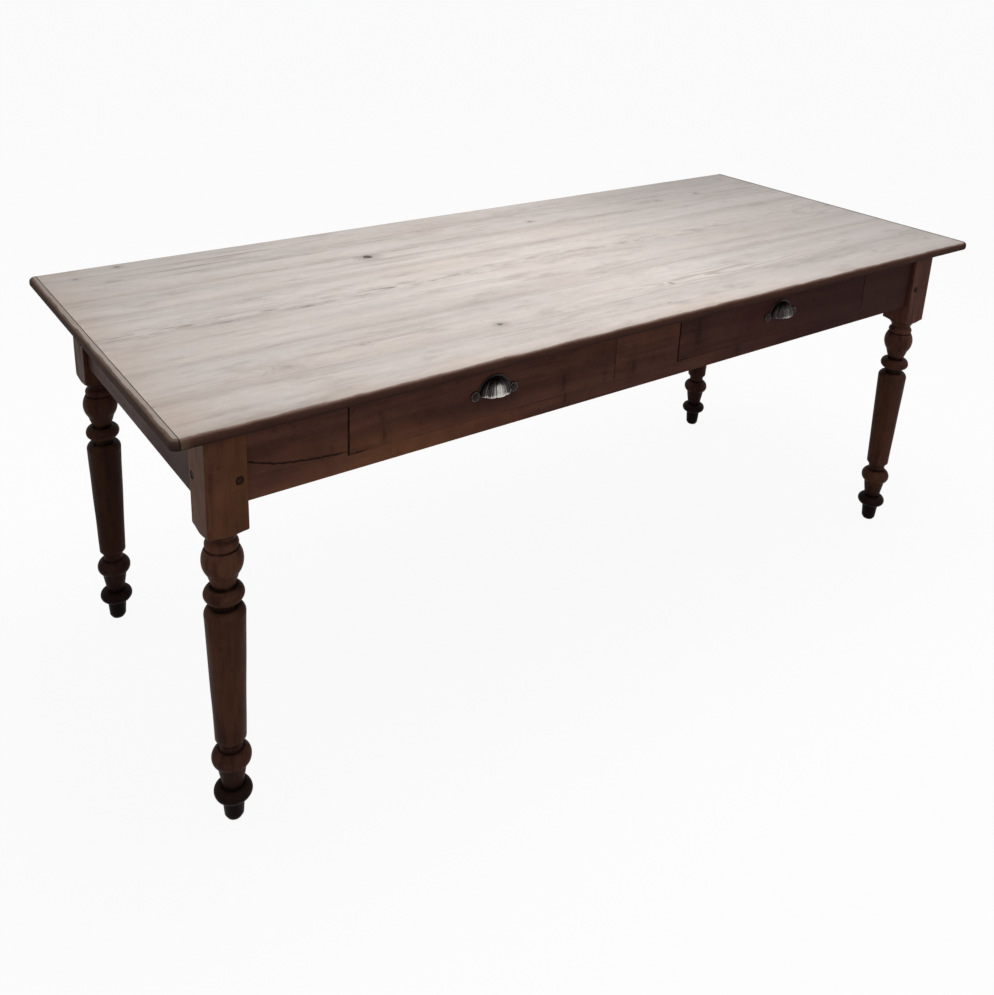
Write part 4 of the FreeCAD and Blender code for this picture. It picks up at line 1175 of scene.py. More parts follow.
@dataclass
class TableTop:
    """The five boards of the top and the strips across their ends.

    Attributes:
        upper_nose: Radius of the rounded upper edge.
        lower_nose: Radius of the rounded lower edge.
        corner: Radius of the corners seen from above.
        arris: Radius of the edges in a seam.
        tongue: Length of the tongues in the end strips.
        tongue_thickness: Thickness of the tongues.
        set_back: Distance of a tongue from the nose beside it.
        grime_gap: Width of the open seam at the end strips.
        step: Distance between stations on a nosed board.
        chips: Number of dents in a nose.
        chip_reach: Least and greatest radius of a dent, in millimetres.
        chip_depth: Least and greatest depth of a dent, in millimetres.
        board_wear: Wear of a board where nothing has rubbed it.
        strip_wear: The same for a strip.
        banding: How dark the long bands of a board are.
        back_banding: The same for the back board.
        rubbed_patches: Bare places in the left strip, as Y, reach and strength.
    """

    upper_nose: float = 8.5 * MM
    lower_nose: float = 7.5 * MM
    corner: float = 12.5 * MM
    arris: float = 0.4 * MM
    tongue: float = 6 * MM
    tongue_thickness: float = 7 * MM
    set_back: float = 24 * MM
    grime_gap: float = 0.5 * MM
    step: float = 4 * MM
    chips: int = 22
    chip_reach: Pair = (1.5, 6.0)
    chip_depth: Pair = (0.15, 0.6)
    board_wear: float = 0.45
    strip_wear: float = 0.42
    banding: float = 0.35
    back_banding: float = 0.6
    rubbed_patches: tuple[Spot, ...] = ((0.30, 0.07, 1.0), (-0.225, 0.04, 0.8))

    def cuts(self) -> dict[str, Cut]:
        """How each board lies in its log, with its knots where the real top has them."""
        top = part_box("middle_top_board")[1].z

        def cut(node: str, heart: Pair, seed: float, *knots: tuple, **more: float) -> tuple[str, Cut]:
            """A board and its cut; each knot is X, Y, radius, darkness and at times stretch."""
            low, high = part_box(node)
            middle = (0.0, (low.y + high.y) / 2, top)
            marks = tuple(Knot((x, y, top), *form) for x, y, *form in knots)
            return node, Cut(Along.X, middle, heart, seed, knots=marks, **more)

        return dict((
            cut(
                "back_top_board", (-0.02, -0.035), 1.7,
                (-0.817, 0.375, 0.005, 0.7), (-0.909, 0.337, 0.003, 0.5), (0.141, 0.247, 0.005, 0.75),
                (0.730, 0.259, 0.005, 0.6), (0.916, 0.347, 0.005, 0.35), (0.572, 0.247, 0.006, 0.3),
                (-0.850, 0.292, 0.006, 0.3, 5.0), (-0.700, 0.276, 0.004, 0.3, 12.0),
                (-0.530, 0.273, 0.004, 0.3, 10.0), (-0.640, 0.308, 0.003, 0.35, 36.0), sway=0.018,
            ),
            cut("second_top_board", (0.05, -0.05), 4.1, (-0.342, 0.192, 0.013, 0.9, 1.0)),
            cut(
                "middle_top_board", (0.030, -0.012), 7.3, (0.040, -0.140, 0.004, 0.15),
                (-0.745, -0.018, 0.0045, 0.4, 6.0), (-0.585, -0.016, 0.0045, 0.45, 5.0),
                sway=0.014, taper=0.022, arches=0.8,
            ),
            cut(
                "fourth_top_board", (-0.03, -0.045), 9.9, (-0.327, -0.271, 0.006, 0.75),
                (-0.586, -0.229, 0.005, 0.3), (-0.190, -0.274, 0.003, 0.2), (0.116, -0.259, 0.003, 0.5),
                (-0.735, -0.250, 0.010, 0.25),
            ),
            cut(
                "front_top_board", (0.03, -0.04), 12.6, (-0.744, -0.300, 0.005, 0.12),
                (0.029, -0.344, 0.003, 0.45), (0.706, -0.329, 0.004, 0.3), (0.919, -0.327, 0.004, 0.4),
            ),
        ))

    def build(self) -> None:
        """Builds and finishes the boards and the strips."""
        seam = abs(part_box("left_end_strip")[1].x)
        for number, (node, cut) in enumerate(self.cuts().items()):
            low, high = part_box(node)
            banding = self.back_banding if node.startswith("back") else self.banding
            coat = PINE.coat("scrubbed_" + node, cut, FRONT_NOSE, (high.y - low.y) / 2, seam, banding)
            settle(self.board(node, number, seam), Body.TABLE, Slot.PINE, [coat], [node])
        for side, node in ((-1, "left_end_strip"), (1, "right_end_strip")):
            low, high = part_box(node)
            cut = Cut(Along.Y, ((low.x + high.x) / 2, 0.0, high.z), (0.0, -0.05), 15.0 + side)
            coat = PINE.coat("scrubbed_" + node, cut, STRIP_NOSE, (high.x - low.x) / 2, seam)
            settle(self.strip(node, side), Body.TABLE, Slot.PINE, [coat], [node])

    def dented(self, grid: np.ndarray, seed: int, first: Spot, second: Spot) -> np.ndarray:
        """How deep each point of a nose lies in its dents.

        Args:
            grid: The points.
            seed: Number that fixes the dents.
            first: One corner of the box that holds their middles.
            second: The opposite corner.

        Returns:
            The depth at each point.
        """
        rng = np.random.default_rng(seed)
        corners = np.array([first, second])
        middles = rng.uniform(corners.min(axis=0), corners.max(axis=0), (self.chips, 3))
        reach = rng.uniform(*self.chip_reach, self.chips) * MM
        depth = rng.uniform(*self.chip_depth, self.chips) * MM
        return dents(grid, middles, reach, depth)

    def board(self, node: str, number: int, seam: float) -> bpy.types.Object:
        """One board, with its tongues.

        Formula: the rounded outline across the board is carried along X; the upper
        face sinks by a wander of a quarter of a millimetre, and the nose gives way
        where it is dented. At each end the outline shrinks to the tongue and closes.

        Args:
            node: The construction node.
            number: Number of the board, counted from the back.
            seam: Distance of the end strips' inner faces from the middle.

        Returns:
            The board.
        """
        low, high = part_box(node)
        at_front, at_back = node.startswith("front"), node.startswith("back")
        radii = [self.arris] * 4
        if at_front:
            radii[0], radii[3] = self.lower_nose, self.upper_nose
        if at_back:
            radii[1], radii[2] = self.lower_nose, self.upper_nose
        outline = rounded_loop((low.y, low.z), (high.y, high.z), radii, 7 * MM)
        middle = np.array([(low.y + high.y) / 2, (low.z + high.z) / 2])
        fore = low.y + self.set_back * at_front
        rear = high.y - self.set_back * at_back
        share = (outline - (low.y, low.z)) / (high.y - low.y, high.z - low.z)
        foot = middle[1] - self.tongue_thickness / 2
        tongue = (fore, foot) + share * (rear - fore, self.tongue_thickness)
        end = seam - self.grime_gap
        step = self.step if at_front or at_back else 2 * self.step
        stations = span(-end + self.arris, end - self.arris, step)
        inset = outline + (middle - outline) * 0.012
        ends = [(end, inset), (end, tongue), (end + self.tongue, tongue)]
        rows = [(-x, loop) for x, loop in reversed(ends)] + [(x, outline) for x in stations] + ends
        grid = np.stack([np.column_stack([np.full(len(loop), x), loop]) for x, loop in rows])
        wear = np.full(grid.shape[:2], self.board_wear)
        body = slice(len(ends), len(ends) + len(stations))
        nose = (low.y, 1) if at_front else (high.y, -1) if at_back else None
        grid[body], wear[body] = self.aged(grid[body], number, low, high, nose)
        grid, wear = capped(grid, wear)
        return skin(node.replace("_top_", "_pine_"), [grid], [wear])

    def aged(
        self, grid: np.ndarray, number: int, low: Vector, high: Vector, nose: tuple[float, int] | None
    ) -> tuple[np.ndarray, np.ndarray]:
        """Sinks the upper face of a board and dents its nose.

        Args:
            grid: The board's points without its ends.
            number: Number of the board.
            low: Lowest corner of the board.
            high: Its highest corner.
            nose: Y of its rounded edge, and 1 where the board lies behind that edge or
                -1 where it lies before it.

        Returns:
            The aged points and the wear at each.
        """
        upper = ease((low.z + high.z) / 2, high.z, grid[..., 2])
        sink = 0.12 * MM * (1.4 + Wander(number, (0.9, 0.12, 1.0)).at(grid))
        grid[..., 2] -= upper * np.clip(sink, 0, None)
        wear = np.full(grid.shape[:2], self.board_wear)
        if nose is None:
            return grid, wear
        edge, way = nose
        near = 1 - ease(0, 2 * self.upper_nose, (grid[..., 1] - edge) * way)
        outer, inner = (low.x, edge - 2 * MM * way, low.z), (high.x, edge + 6 * MM * way, high.z)
        deep = self.dented(grid, 60 + number, outer, inner) * near
        rub = 0.35 * MM * (1.2 + Wander(70 + number, (0.22, 9.0, 0.05)).at(grid)) * near
        grid[..., 1] += way * np.clip(deep + rub, 0, None)
        grid[..., 2] -= upper * near * 0.5 * np.clip(deep, 0, None)
        wear += np.clip(0.5 * deep / MM, 0, 0.3)
        if way > 0:
            wear += 0.35 * ease(low.x + 45 * MM, low.x + 10 * MM, grid[..., 0]) * near
        return grid, wear

    def rim(self, low: Vector, high: Vector, side: int) -> tuple[np.ndarray, np.ndarray]:
        """The outline of a strip seen from above, from its inner front corner round.

        Args:
            low: Lowest corner of the strip.
            high: Its highest corner.
            side: -1 for the left strip and 1 for the right one.

        Returns:
            The points, and the way out at each.
        """
        inner, outer = (low.x, high.x) if side > 0 else (high.x, low.x)
        turn = np.linspace(0, QUARTER_TURN, 19)[:, None]
        bend = np.array([outer - side * self.corner, low.y + self.corner])
        out = np.hstack([side * np.sin(turn), -np.cos(turn)])
        front = np.concatenate([[[inner, low.y], [bend[0], low.y]], bend + self.corner * out])
        front_out = np.concatenate([np.tile((0.0, -1.0), (2, 1)), out])
        edge_y = span(bend[1], high.y - self.corner, self.step)[1:-1]
        edge = np.column_stack([np.full(len(edge_y), outer), edge_y])
        edge_out = np.tile((float(side), 0.0), (len(edge), 1))
        mirror = (1, -1)
        path = np.concatenate([front, edge, front[::-1] * mirror])
        return path, np.concatenate([front_out, edge_out, front_out[::-1] * mirror])

    def strip(self, node: str, side: int) -> bpy.types.Object:
        """One end strip, grooved for the tongues.

        Formula: a rounded profile is carried round the outline seen from above, each
        profile point lying inward from the outline by its own inset; past the nose
        the surface runs flat to the inner face, which holds the groove.

        Args:
            node: The construction node.
            side: -1 for the left strip and 1 for the right one.

        Returns:
            The strip.
        """
        low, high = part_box(node)
        inner, outer = (low.x, high.x) if side > 0 else (high.x, low.x)
        path, out = self.rim(low, high, side)
        lower = np.linspace(-QUARTER_TURN, 0, 15)
        upper = np.linspace(0, QUARTER_TURN, 15)
        inset = np.concatenate([self.lower_nose * (1 - np.cos(lower)), self.upper_nose * (1 - np.cos(upper))])
        rise = np.concatenate([
            low.z + self.lower_nose * (1 + np.sin(lower)),
            high.z - self.upper_nose * (1 - np.sin(upper)),
        ])
        flat = path[:, None] - out[:, None] * inset[None, :, None]
        nose = np.concatenate([flat, np.broadcast_to(rise[None, :, None], (*flat.shape[:2], 1))], -1)
        inner_y = np.clip(nose[:, -1:, 1], low.y + self.upper_nose, high.y - self.upper_nose)
        open_groove = np.abs(inner_y) < high.y - self.set_back
        groove_x = inner + side * (self.tongue + MM) * open_groove
        middle, cheek = (low.z + high.z) / 2, self.tongue_thickness / 2 + 0.1 * MM
        wall = (
            (inner + side * self.arris, high.z), (inner, high.z - self.arris),
            (inner, middle + cheek), (groove_x, middle + cheek), (groove_x, middle - cheek),
            (inner, middle - cheek), (inner, low.z),
        )
        face = [np.stack(np.broadcast_arrays(x, inner_y, z), -1) for x, z in wall]
        grid = np.concatenate([nose, *face], axis=1)
        grid[..., 0] = np.clip(grid[..., 0] * side, inner * side, outer * side) * side
        near = ease(2 * self.upper_nose, 0.5 * self.upper_nose, (outer - grid[..., 0]) * side)
        first, second = (outer - 3 * MM, low.y, low.z), (outer + 3 * MM, high.y, high.z)
        deep = self.dented(grid, 90 + side, first, second)
        grid[..., 0] -= side * near * np.clip(deep * 0.8, 0, 2 * MM)
        wear = self.strip_wear + np.clip(0.5 * deep / MM, 0, 0.3)
        if side < 0:
            wear += 0.2 * sum(much * bell(grid[..., 1], y, reach) for y, reach, much in self.rubbed_patches)
        grid, wear = capped(grid, wear)
        return skin(node.replace("_end_", "_pine_"), [grid], [wear])


@dataclass
class Bow:
    """A round stretch of a turned outline: an arc through a point to its end.

    Attributes:
        via: Radius and height of the point between.
        to: Radius and height of the end.
    """

    via: Pair
    to: Pair

    def points(self, start: Pair, count: int) -> np.ndarray:
        """Points along the arc.

        Formula: the middle is where the upright bisectors of both chords meet, and
        the points turn about it at an even rate from the start, by way of the point
        between, to the end.

        Args:
            start: Where the arc starts.
            count: How many points it gets after the start.

        Returns:
            The points, without the start.
        """
        a, b, c = (np.array(spot) for spot in (start, self.via, self.to))
        rows = np.array([b - a, c - a])
        middle = np.linalg.solve(2 * rows, (rows * (rows + 2 * a)).sum(axis=1))
        angles = [math.atan2(*(spot - middle)[::-1]) for spot in (a, b, c)]
        first = (angles[1] - angles[0] + math.pi) % FULL_TURN - math.pi
        second = (angles[2] - angles[1] + math.pi) % FULL_TURN - math.pi
        turn = angles[0] + (first + second) * np.arange(1, count + 1) / count
        return middle + np.linalg.norm(a - middle) * np.stack([np.cos(turn), np.sin(turn)], -1)


@dataclass(frozen=True)
class Rod:
    """A round rod that enters a face, such as a peg or the bore round it.

    Attributes:
        spot: Where it meets the face.
        way: Unit vector out of the face.
    """

    spot: np.ndarray
    way: np.ndarray

    def grid(self, radius: float, depth: float, proud: float, flats: float) -> np.ndarray:
        """The rod's points.

        Formula: circles of radius times (1 - flats |sin 3a|) lie across the rod's
        direction, and the last ones draw in to a low dome at each end.

        Args:
            radius: The rod's radius.
            depth: How deep it enters.
            proud: How far it stands out.
            flats: How far its whittled flats lie in, as a share of the radius.

        Returns:
            The points, closed at both ends.
        """
        angle = np.linspace(0, FULL_TURN, 48, endpoint=False)
        upward = np.array([0.0, 0.0, 1.0])
        ring = np.cross(self.way, upward) * np.cos(angle)[:, None] + upward * np.sin(angle)[:, None]
        ring = ring * (radius * (1 - flats * np.abs(np.sin(3 * angle))))[:, None]
        rows = (
            (0.0, -depth), (1.0, -depth), (1.0, proud - 0.8 * MM),
            (0.93, proud - 0.2 * MM), (0.6, proud), (0.0, proud),
        )
        return np.stack([self.spot + ring * wide + self.way * high for wide, high in rows])


@dataclass
class TurnedLegs:
    """Four legs: a square block above, turned below.

    Attributes:
        block: Height of the square block.
        shoulder_rise: How far the shoulder climbs into the block.
        reach: How far out the lathe cuts at the top of the shoulder.
        arris: How sharp the block's edges are; higher is sharper.
        peg_radius: Radius of a peg.
        peg_inset: Distance of a peg from the side of the block beside the apron.
        peg_depth: How deep a peg enters.
        peg_sunk: How far its end lies below the face.
        peg_flats: How far its whittled flats lie in, as a share of its radius.
        peg_wear: Wear of a peg's end.
        bore_gap: Dark gap round a peg.
        bore_depth: Depth of the bore that shows.
        around: Points round the leg.
        bow_points: Points along a round stretch.
        run_step: Longest distance between points on a straight stretch.
        dents: Number of dents in a leg.
        dent_reach: Least and greatest radius of a dent, in millimetres.
        dent_depth: Least and greatest depth of a dent, in millimetres.
        looks: Each leg's node, tone and light.
    """

    block: float = 204 * MM
    shoulder_rise: float = 28 * MM
    reach: float = 49.6 * MM
    arris: float = 46.0
    peg_radius: float = 5.7 * MM
    peg_inset: float = 13 * MM
    peg_depth: float = 38 * MM
    peg_sunk: float = 0.6 * MM
    peg_flats: float = 0.05
    peg_wear: float = 0.14
    bore_gap: float = 0.8 * MM
    bore_depth: float = 5 * MM
    around: int = 240
    bow_points: int = 26
    run_step: float = 6 * MM
    dents: int = 60
    dent_reach: Pair = (1.0, 4.0)
    dent_depth: Pair = (0.15, 0.8)
    looks: tuple[tuple[str, float, float], ...] = (
        ("front_left_leg", 0.95, 1.2), ("front_right_leg", 0.6, 1.7),
        ("back_right_leg", 0.3, 1.7), ("back_left_leg", 0.25, 1.0),
    )

    def profile(self, top: float) -> np.ndarray:
        """Radius and height of the leg, from the floor to the underside of the top.

        Formula: straight runs and arcs from step to step; a step of the turned part
        gives its height as a share of that part's height.

        Args:
            top: Height of the underside of the top.

        Returns:
            One pair for each station.
        """
        foot = top - self.block
        quirk, waist, ring, ball = 19.5 * MM, 17.5 * MM, 32.6 * MM, 33.3 * MM

        def at(share: float) -> float:
            """Height of a share of the turned part."""
            return foot * share

        steps = [
            (16.5 * MM, 6 * MM),
            (19.3 * MM, at(0.077)),
            Bow((ring, at(0.1007)), (waist, at(0.1227))),
            Bow((21.2 * MM, at(0.16)), (24.6 * MM, at(0.2015))),
            Bow((ball, at(0.2345)), (22.3 * MM, at(0.2629))),
            (quirk, at(0.2629)),
            (quirk, at(0.2878)),
            (26 * MM, at(0.3036)),
            (33.4 * MM, at(0.7418)),
            Bow((32.8 * MM, at(0.755)), (26 * MM, at(0.77))),
            (quirk, at(0.77)),
            (quirk, at(0.79)),
            Bow((ring, at(0.8185)), (waist, at(0.8379))),
            Bow((22.1 * MM, at(0.8623)), (25.5 * MM, at(0.8828))),
            Bow((ball, at(0.921)), (27.6 * MM, at(0.965))),
            (25.2 * MM, at(0.965)),
            (25.2 * MM, at(0.969)),
            Bow((27 * MM, at(0.981)), (22.6 * MM, at(0.995))),
            (22 * MM, foot),
            Bow((29 * MM, foot + 12 * MM), (45.5 * MM, foot + 19.5 * MM)),
            Bow((48.2 * MM, foot + 22 * MM), (self.reach, foot + self.shoulder_rise)),
            (self.reach, top),
        ]
        start = (13 * MM, 0.0)
        points = [np.array([start])]
        for step in steps:
            if isinstance(step, Bow):
                points.append(step.points(start, self.bow_points))
                start = step.to
            else:
                count = max(3, math.ceil(math.dist(start, step) / self.run_step) + 1)
                share = np.linspace(0, 1, count)[1:, None]
                points.append(np.array(start) * (1 - share) + np.array(step) * share)
                start = step
        return np.concatenate(points)

    def build(self) -> None:
        """Builds the legs and their pegs."""
        pegs = []
        for number, (node, tone, light) in enumerate(self.looks):
            low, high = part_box(node)
            axis = ((low.x + high.x) / 2, (low.y + high.y) / 2)
            half = (high.x - low.x) / 2
            leg = self.leg(node, number, axis, half, high.z)
            for peg in self.pegs(axis, half):
                bore = peg.grid(self.peg_radius + self.bore_gap, self.bore_depth, 2 * MM, 0.0)
                carve(leg, skin("bore", [bore]))
                pegs.append(peg.grid(self.peg_radius, self.peg_depth, -self.peg_sunk, self.peg_flats))
            heart = (0.03, -0.05 + 0.01 * number)
            cut = Cut(Along.Z, (*axis, 0.4), heart, 21.0 + 3 * number, ring=3.2 * MM)
            turned = low.z + high.z - self.block
            coat = STAIN.coat("stained_" + node, cut, tone=tone, turned=turned, light=light)
            settle(leg, Body.TABLE, Slot.STAINED, [coat], [node])
        ends = skin("peg_ends", pegs, [np.full(grid.shape[:2], self.peg_wear) for grid in pegs])
        cut = Cut(Along.Z, (0.0, 0.0, 0.65), (0.0, -0.05), 35.0, ring=1.5 * MM)
        coat = STAIN.coat("stained_pegs", cut, tone=0.3)
        settle(ends, Body.TABLE, Slot.STAINED, [coat], ["tenon_pegs"])

    def pegs(self, axis: Pair, half: float) -> list[Rod]:
        """The two pegs of a leg, where they meet its outer faces.

        Args:
            axis: X and Y of the leg's axis.
            half: Half the leg's square.

        Returns:
            The peg of the long side and that of the end.
        """
        low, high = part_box("tenon_pegs")
        middle = np.array([*axis, (low.z + high.z) / 2])
        to_end = np.array([np.sign(axis[0]), 0.0, 0.0])
        to_side = np.array([0.0, np.sign(axis[1]), 0.0])
        inward = half - self.peg_inset
        return [
            Rod(middle - to_end * inward + to_side * half, to_side),
            Rod(middle + to_end * half - to_side * inward, to_end),
        ]

    def leg(self, node: str, number: int, axis: Pair, half: float, top: float) -> bpy.types.Object:
        """One leg.

        Formula: at each height the distance from the axis is the lesser of the
        turned radius and the square, half over (|cos a|^p + |sin a|^p)^(1/p), with
        a wander of a fifth of a millimetre and dents; the angles crowd at the
        square's corners.

        Args:
            node: The construction node.
            number: Number of the leg.
            axis: X and Y of its axis.
            half: Half the square.
            top: Height of the underside of the top.

        Returns:
            The leg.
        """
        radius, height = self.profile(top).T
        even = np.linspace(0, FULL_TURN, self.around, endpoint=False)
        angle = even + math.pi / 4 - 0.75 * np.sin(4 * even) / 4
        power = self.arris
        square = half / (np.abs(np.cos(angle)) ** power + np.abs(np.sin(angle)) ** power) ** (1 / power)

        def stood(reach: np.ndarray) -> np.ndarray:
            """The points at the given distances from the axis."""
            x, y = axis[0] + reach * np.cos(angle), axis[1] + reach * np.sin(angle)
            return np.stack(np.broadcast_arrays(x, y, height[:, None]), -1)

        above = height > top - self.block + self.shoulder_rise - 0.05 * MM
        reach = np.minimum(np.where(above, 1.0, radius)[:, None], square[None])
        places = stood(reach)
        rng = np.random.default_rng(40 + number)
        middles = places.reshape(-1, 3)[rng.integers(0, places.shape[0] * places.shape[1], self.dents)]
        wide = rng.uniform(*self.dent_reach, self.dents) * MM
        deep = dents(places, middles, wide, rng.uniform(*self.dent_depth, self.dents) * MM)
        uneven = 0.15 * MM * (1 + Wander(50 + number, (0.05, 0.05, 0.16)).at(places))
        wear = self.rubbed(radius, height, top, angle) + 0.3 * np.clip(deep / MM, 0, 1)
        grid, wear = capped(stood(reach - np.clip(deep + uneven, 0, None)), wear)
        return skin(node.replace("_leg", "_turned_leg"), [grid], [wear])

    def rubbed(self, radius: np.ndarray, height: np.ndarray, top: float, angle: np.ndarray) -> np.ndarray:
        """How worn each point of a leg is.

        Formula: a half, plus the radius less its mean over two centimetres of the
        outline, over eight millimetres; on the block, more towards the corners.

        Args:
            radius: Radius at each station.
            height: Height at each station.
            top: Height of the underside of the top.
            angle: The angles round the leg.

        Returns:
            Wear from 0 to 1.
        """
        even = np.linspace(0, top, 600)
        order = np.argsort(height, kind="stable")
        outline = np.interp(even, height[order], radius[order])
        window = np.ones(17) / 17
        mean = np.convolve(np.pad(outline, 8, mode="edge"), window, mode="valid")
        crest = (radius - np.interp(height, even, mean)) / (8 * MM)
        turned = (0.5 + np.clip(crest, -0.5, 0.4))[:, None]
        corner = ease(0.93, 1.0, np.abs(np.sin(2 * angle)))[None]
        foot = top - self.block
        on_block = ease(foot + 12 * MM, foot + 22 * MM, height)[:, None]
        return turned * (1 - on_block) + (0.46 + 0.32 * corner) * on_block


@dataclass(frozen=True)
class Dressed:
    """A flat piece that keeps its joints: a copy of the construction's own shape.

    Attributes:
        node: The construction node.
        body: The body that it moves with.
        slot: The record's name for its finish.
        bevel: Width of its worn edges.
        tone: From redder and darker, 0, to warmer and lighter, 1.
        along: The axis of its length.
        inside: The way that its unstained face looks.
        split: The natural split that shows on it.
        light: How light its stain is, times the usual.
        knots: Its knots and dark smudges, and on a drawer front a painted shadow in the gap beneath it.
        flat_wear: Wear of its faces.
        edge_wear: Wear of its edges.
    """

    node: str
    body: Body
    slot: Slot
    bevel: float = 0.8 * MM
    tone: float = 0.5
    along: Along = Along.X
    inside: Spot | None = None
    split: Split | None = None
    light: float = 1.5
    knots: tuple[Knot, ...] = ()
    flat_wear: float = 0.46
    edge_wear: float = 0.62

    def build(self, number: int) -> bpy.types.Object:
        """Copies the node, softens its edges and dresses it.

        Args:
            number: A number that makes its grain its own.

        Returns:
            The piece.
        """
        piece = placed("dressed_" + self.node, joined_faces(self.node))
        low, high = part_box(self.node)
        size = high - low
        seed = 100.0 + 7.3 * number
        heart = (0.02 * math.sin(seed), -0.045 - 0.02 * math.cos(seed))
        _, width, depth = self.along.value
        if size["XYZ".index(width)] < size["XYZ".index(depth)]:
            heart = heart[::-1]
        cut = Cut(self.along, tuple((low + high) / 2), heart, seed, knots=self.knots)
        if self.slot is Slot.RAW:
            coats = [RAW.coat("raw_" + self.node, cut)]
        else:
            looks = dict(tone=self.tone, inside=self.inside, split=self.split, light=self.light)
            rubs = (("stained_", self.flat_wear), ("rubbed_", self.edge_wear))
            coats = [STAIN.coat(name + self.node, cut, rub=rub, **looks) for name, rub in rubs]
        settle(piece, self.body, self.slot, coats, [self.node])
        edge = piece.modifiers.new("worn_edges", "BEVEL")
        edge.width = self.bevel
        edge.segments = 2
        edge.limit_method = "ANGLE"
        edge.angle_limit = CRISP_ANGLE
        edge.material = len(coats) - 1
        return piece


def joined_faces(node: str) -> bpy.types.Mesh:
    """A copy of a construction node's mesh with its loose triangles joined into faces.

    Args:
        node: The construction node.

    Returns:
        The copy.
    """
    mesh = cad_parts[node].data.copy()
    work = bmesh.new()
    work.from_mesh(mesh)
    bmesh.ops.remove_doubles(work, verts=work.verts, dist=SAME_POINT)
    bmesh.ops.dissolve_limit(
        work, angle_limit=FLAT_ANGLE, use_dissolve_boundaries=False, verts=work.verts, edges=work.edges
    )
    for face in work.faces:
        face.smooth = False
        face.material_index = 0
    work.to_mesh(mesh)
    work.free()
    return mesh


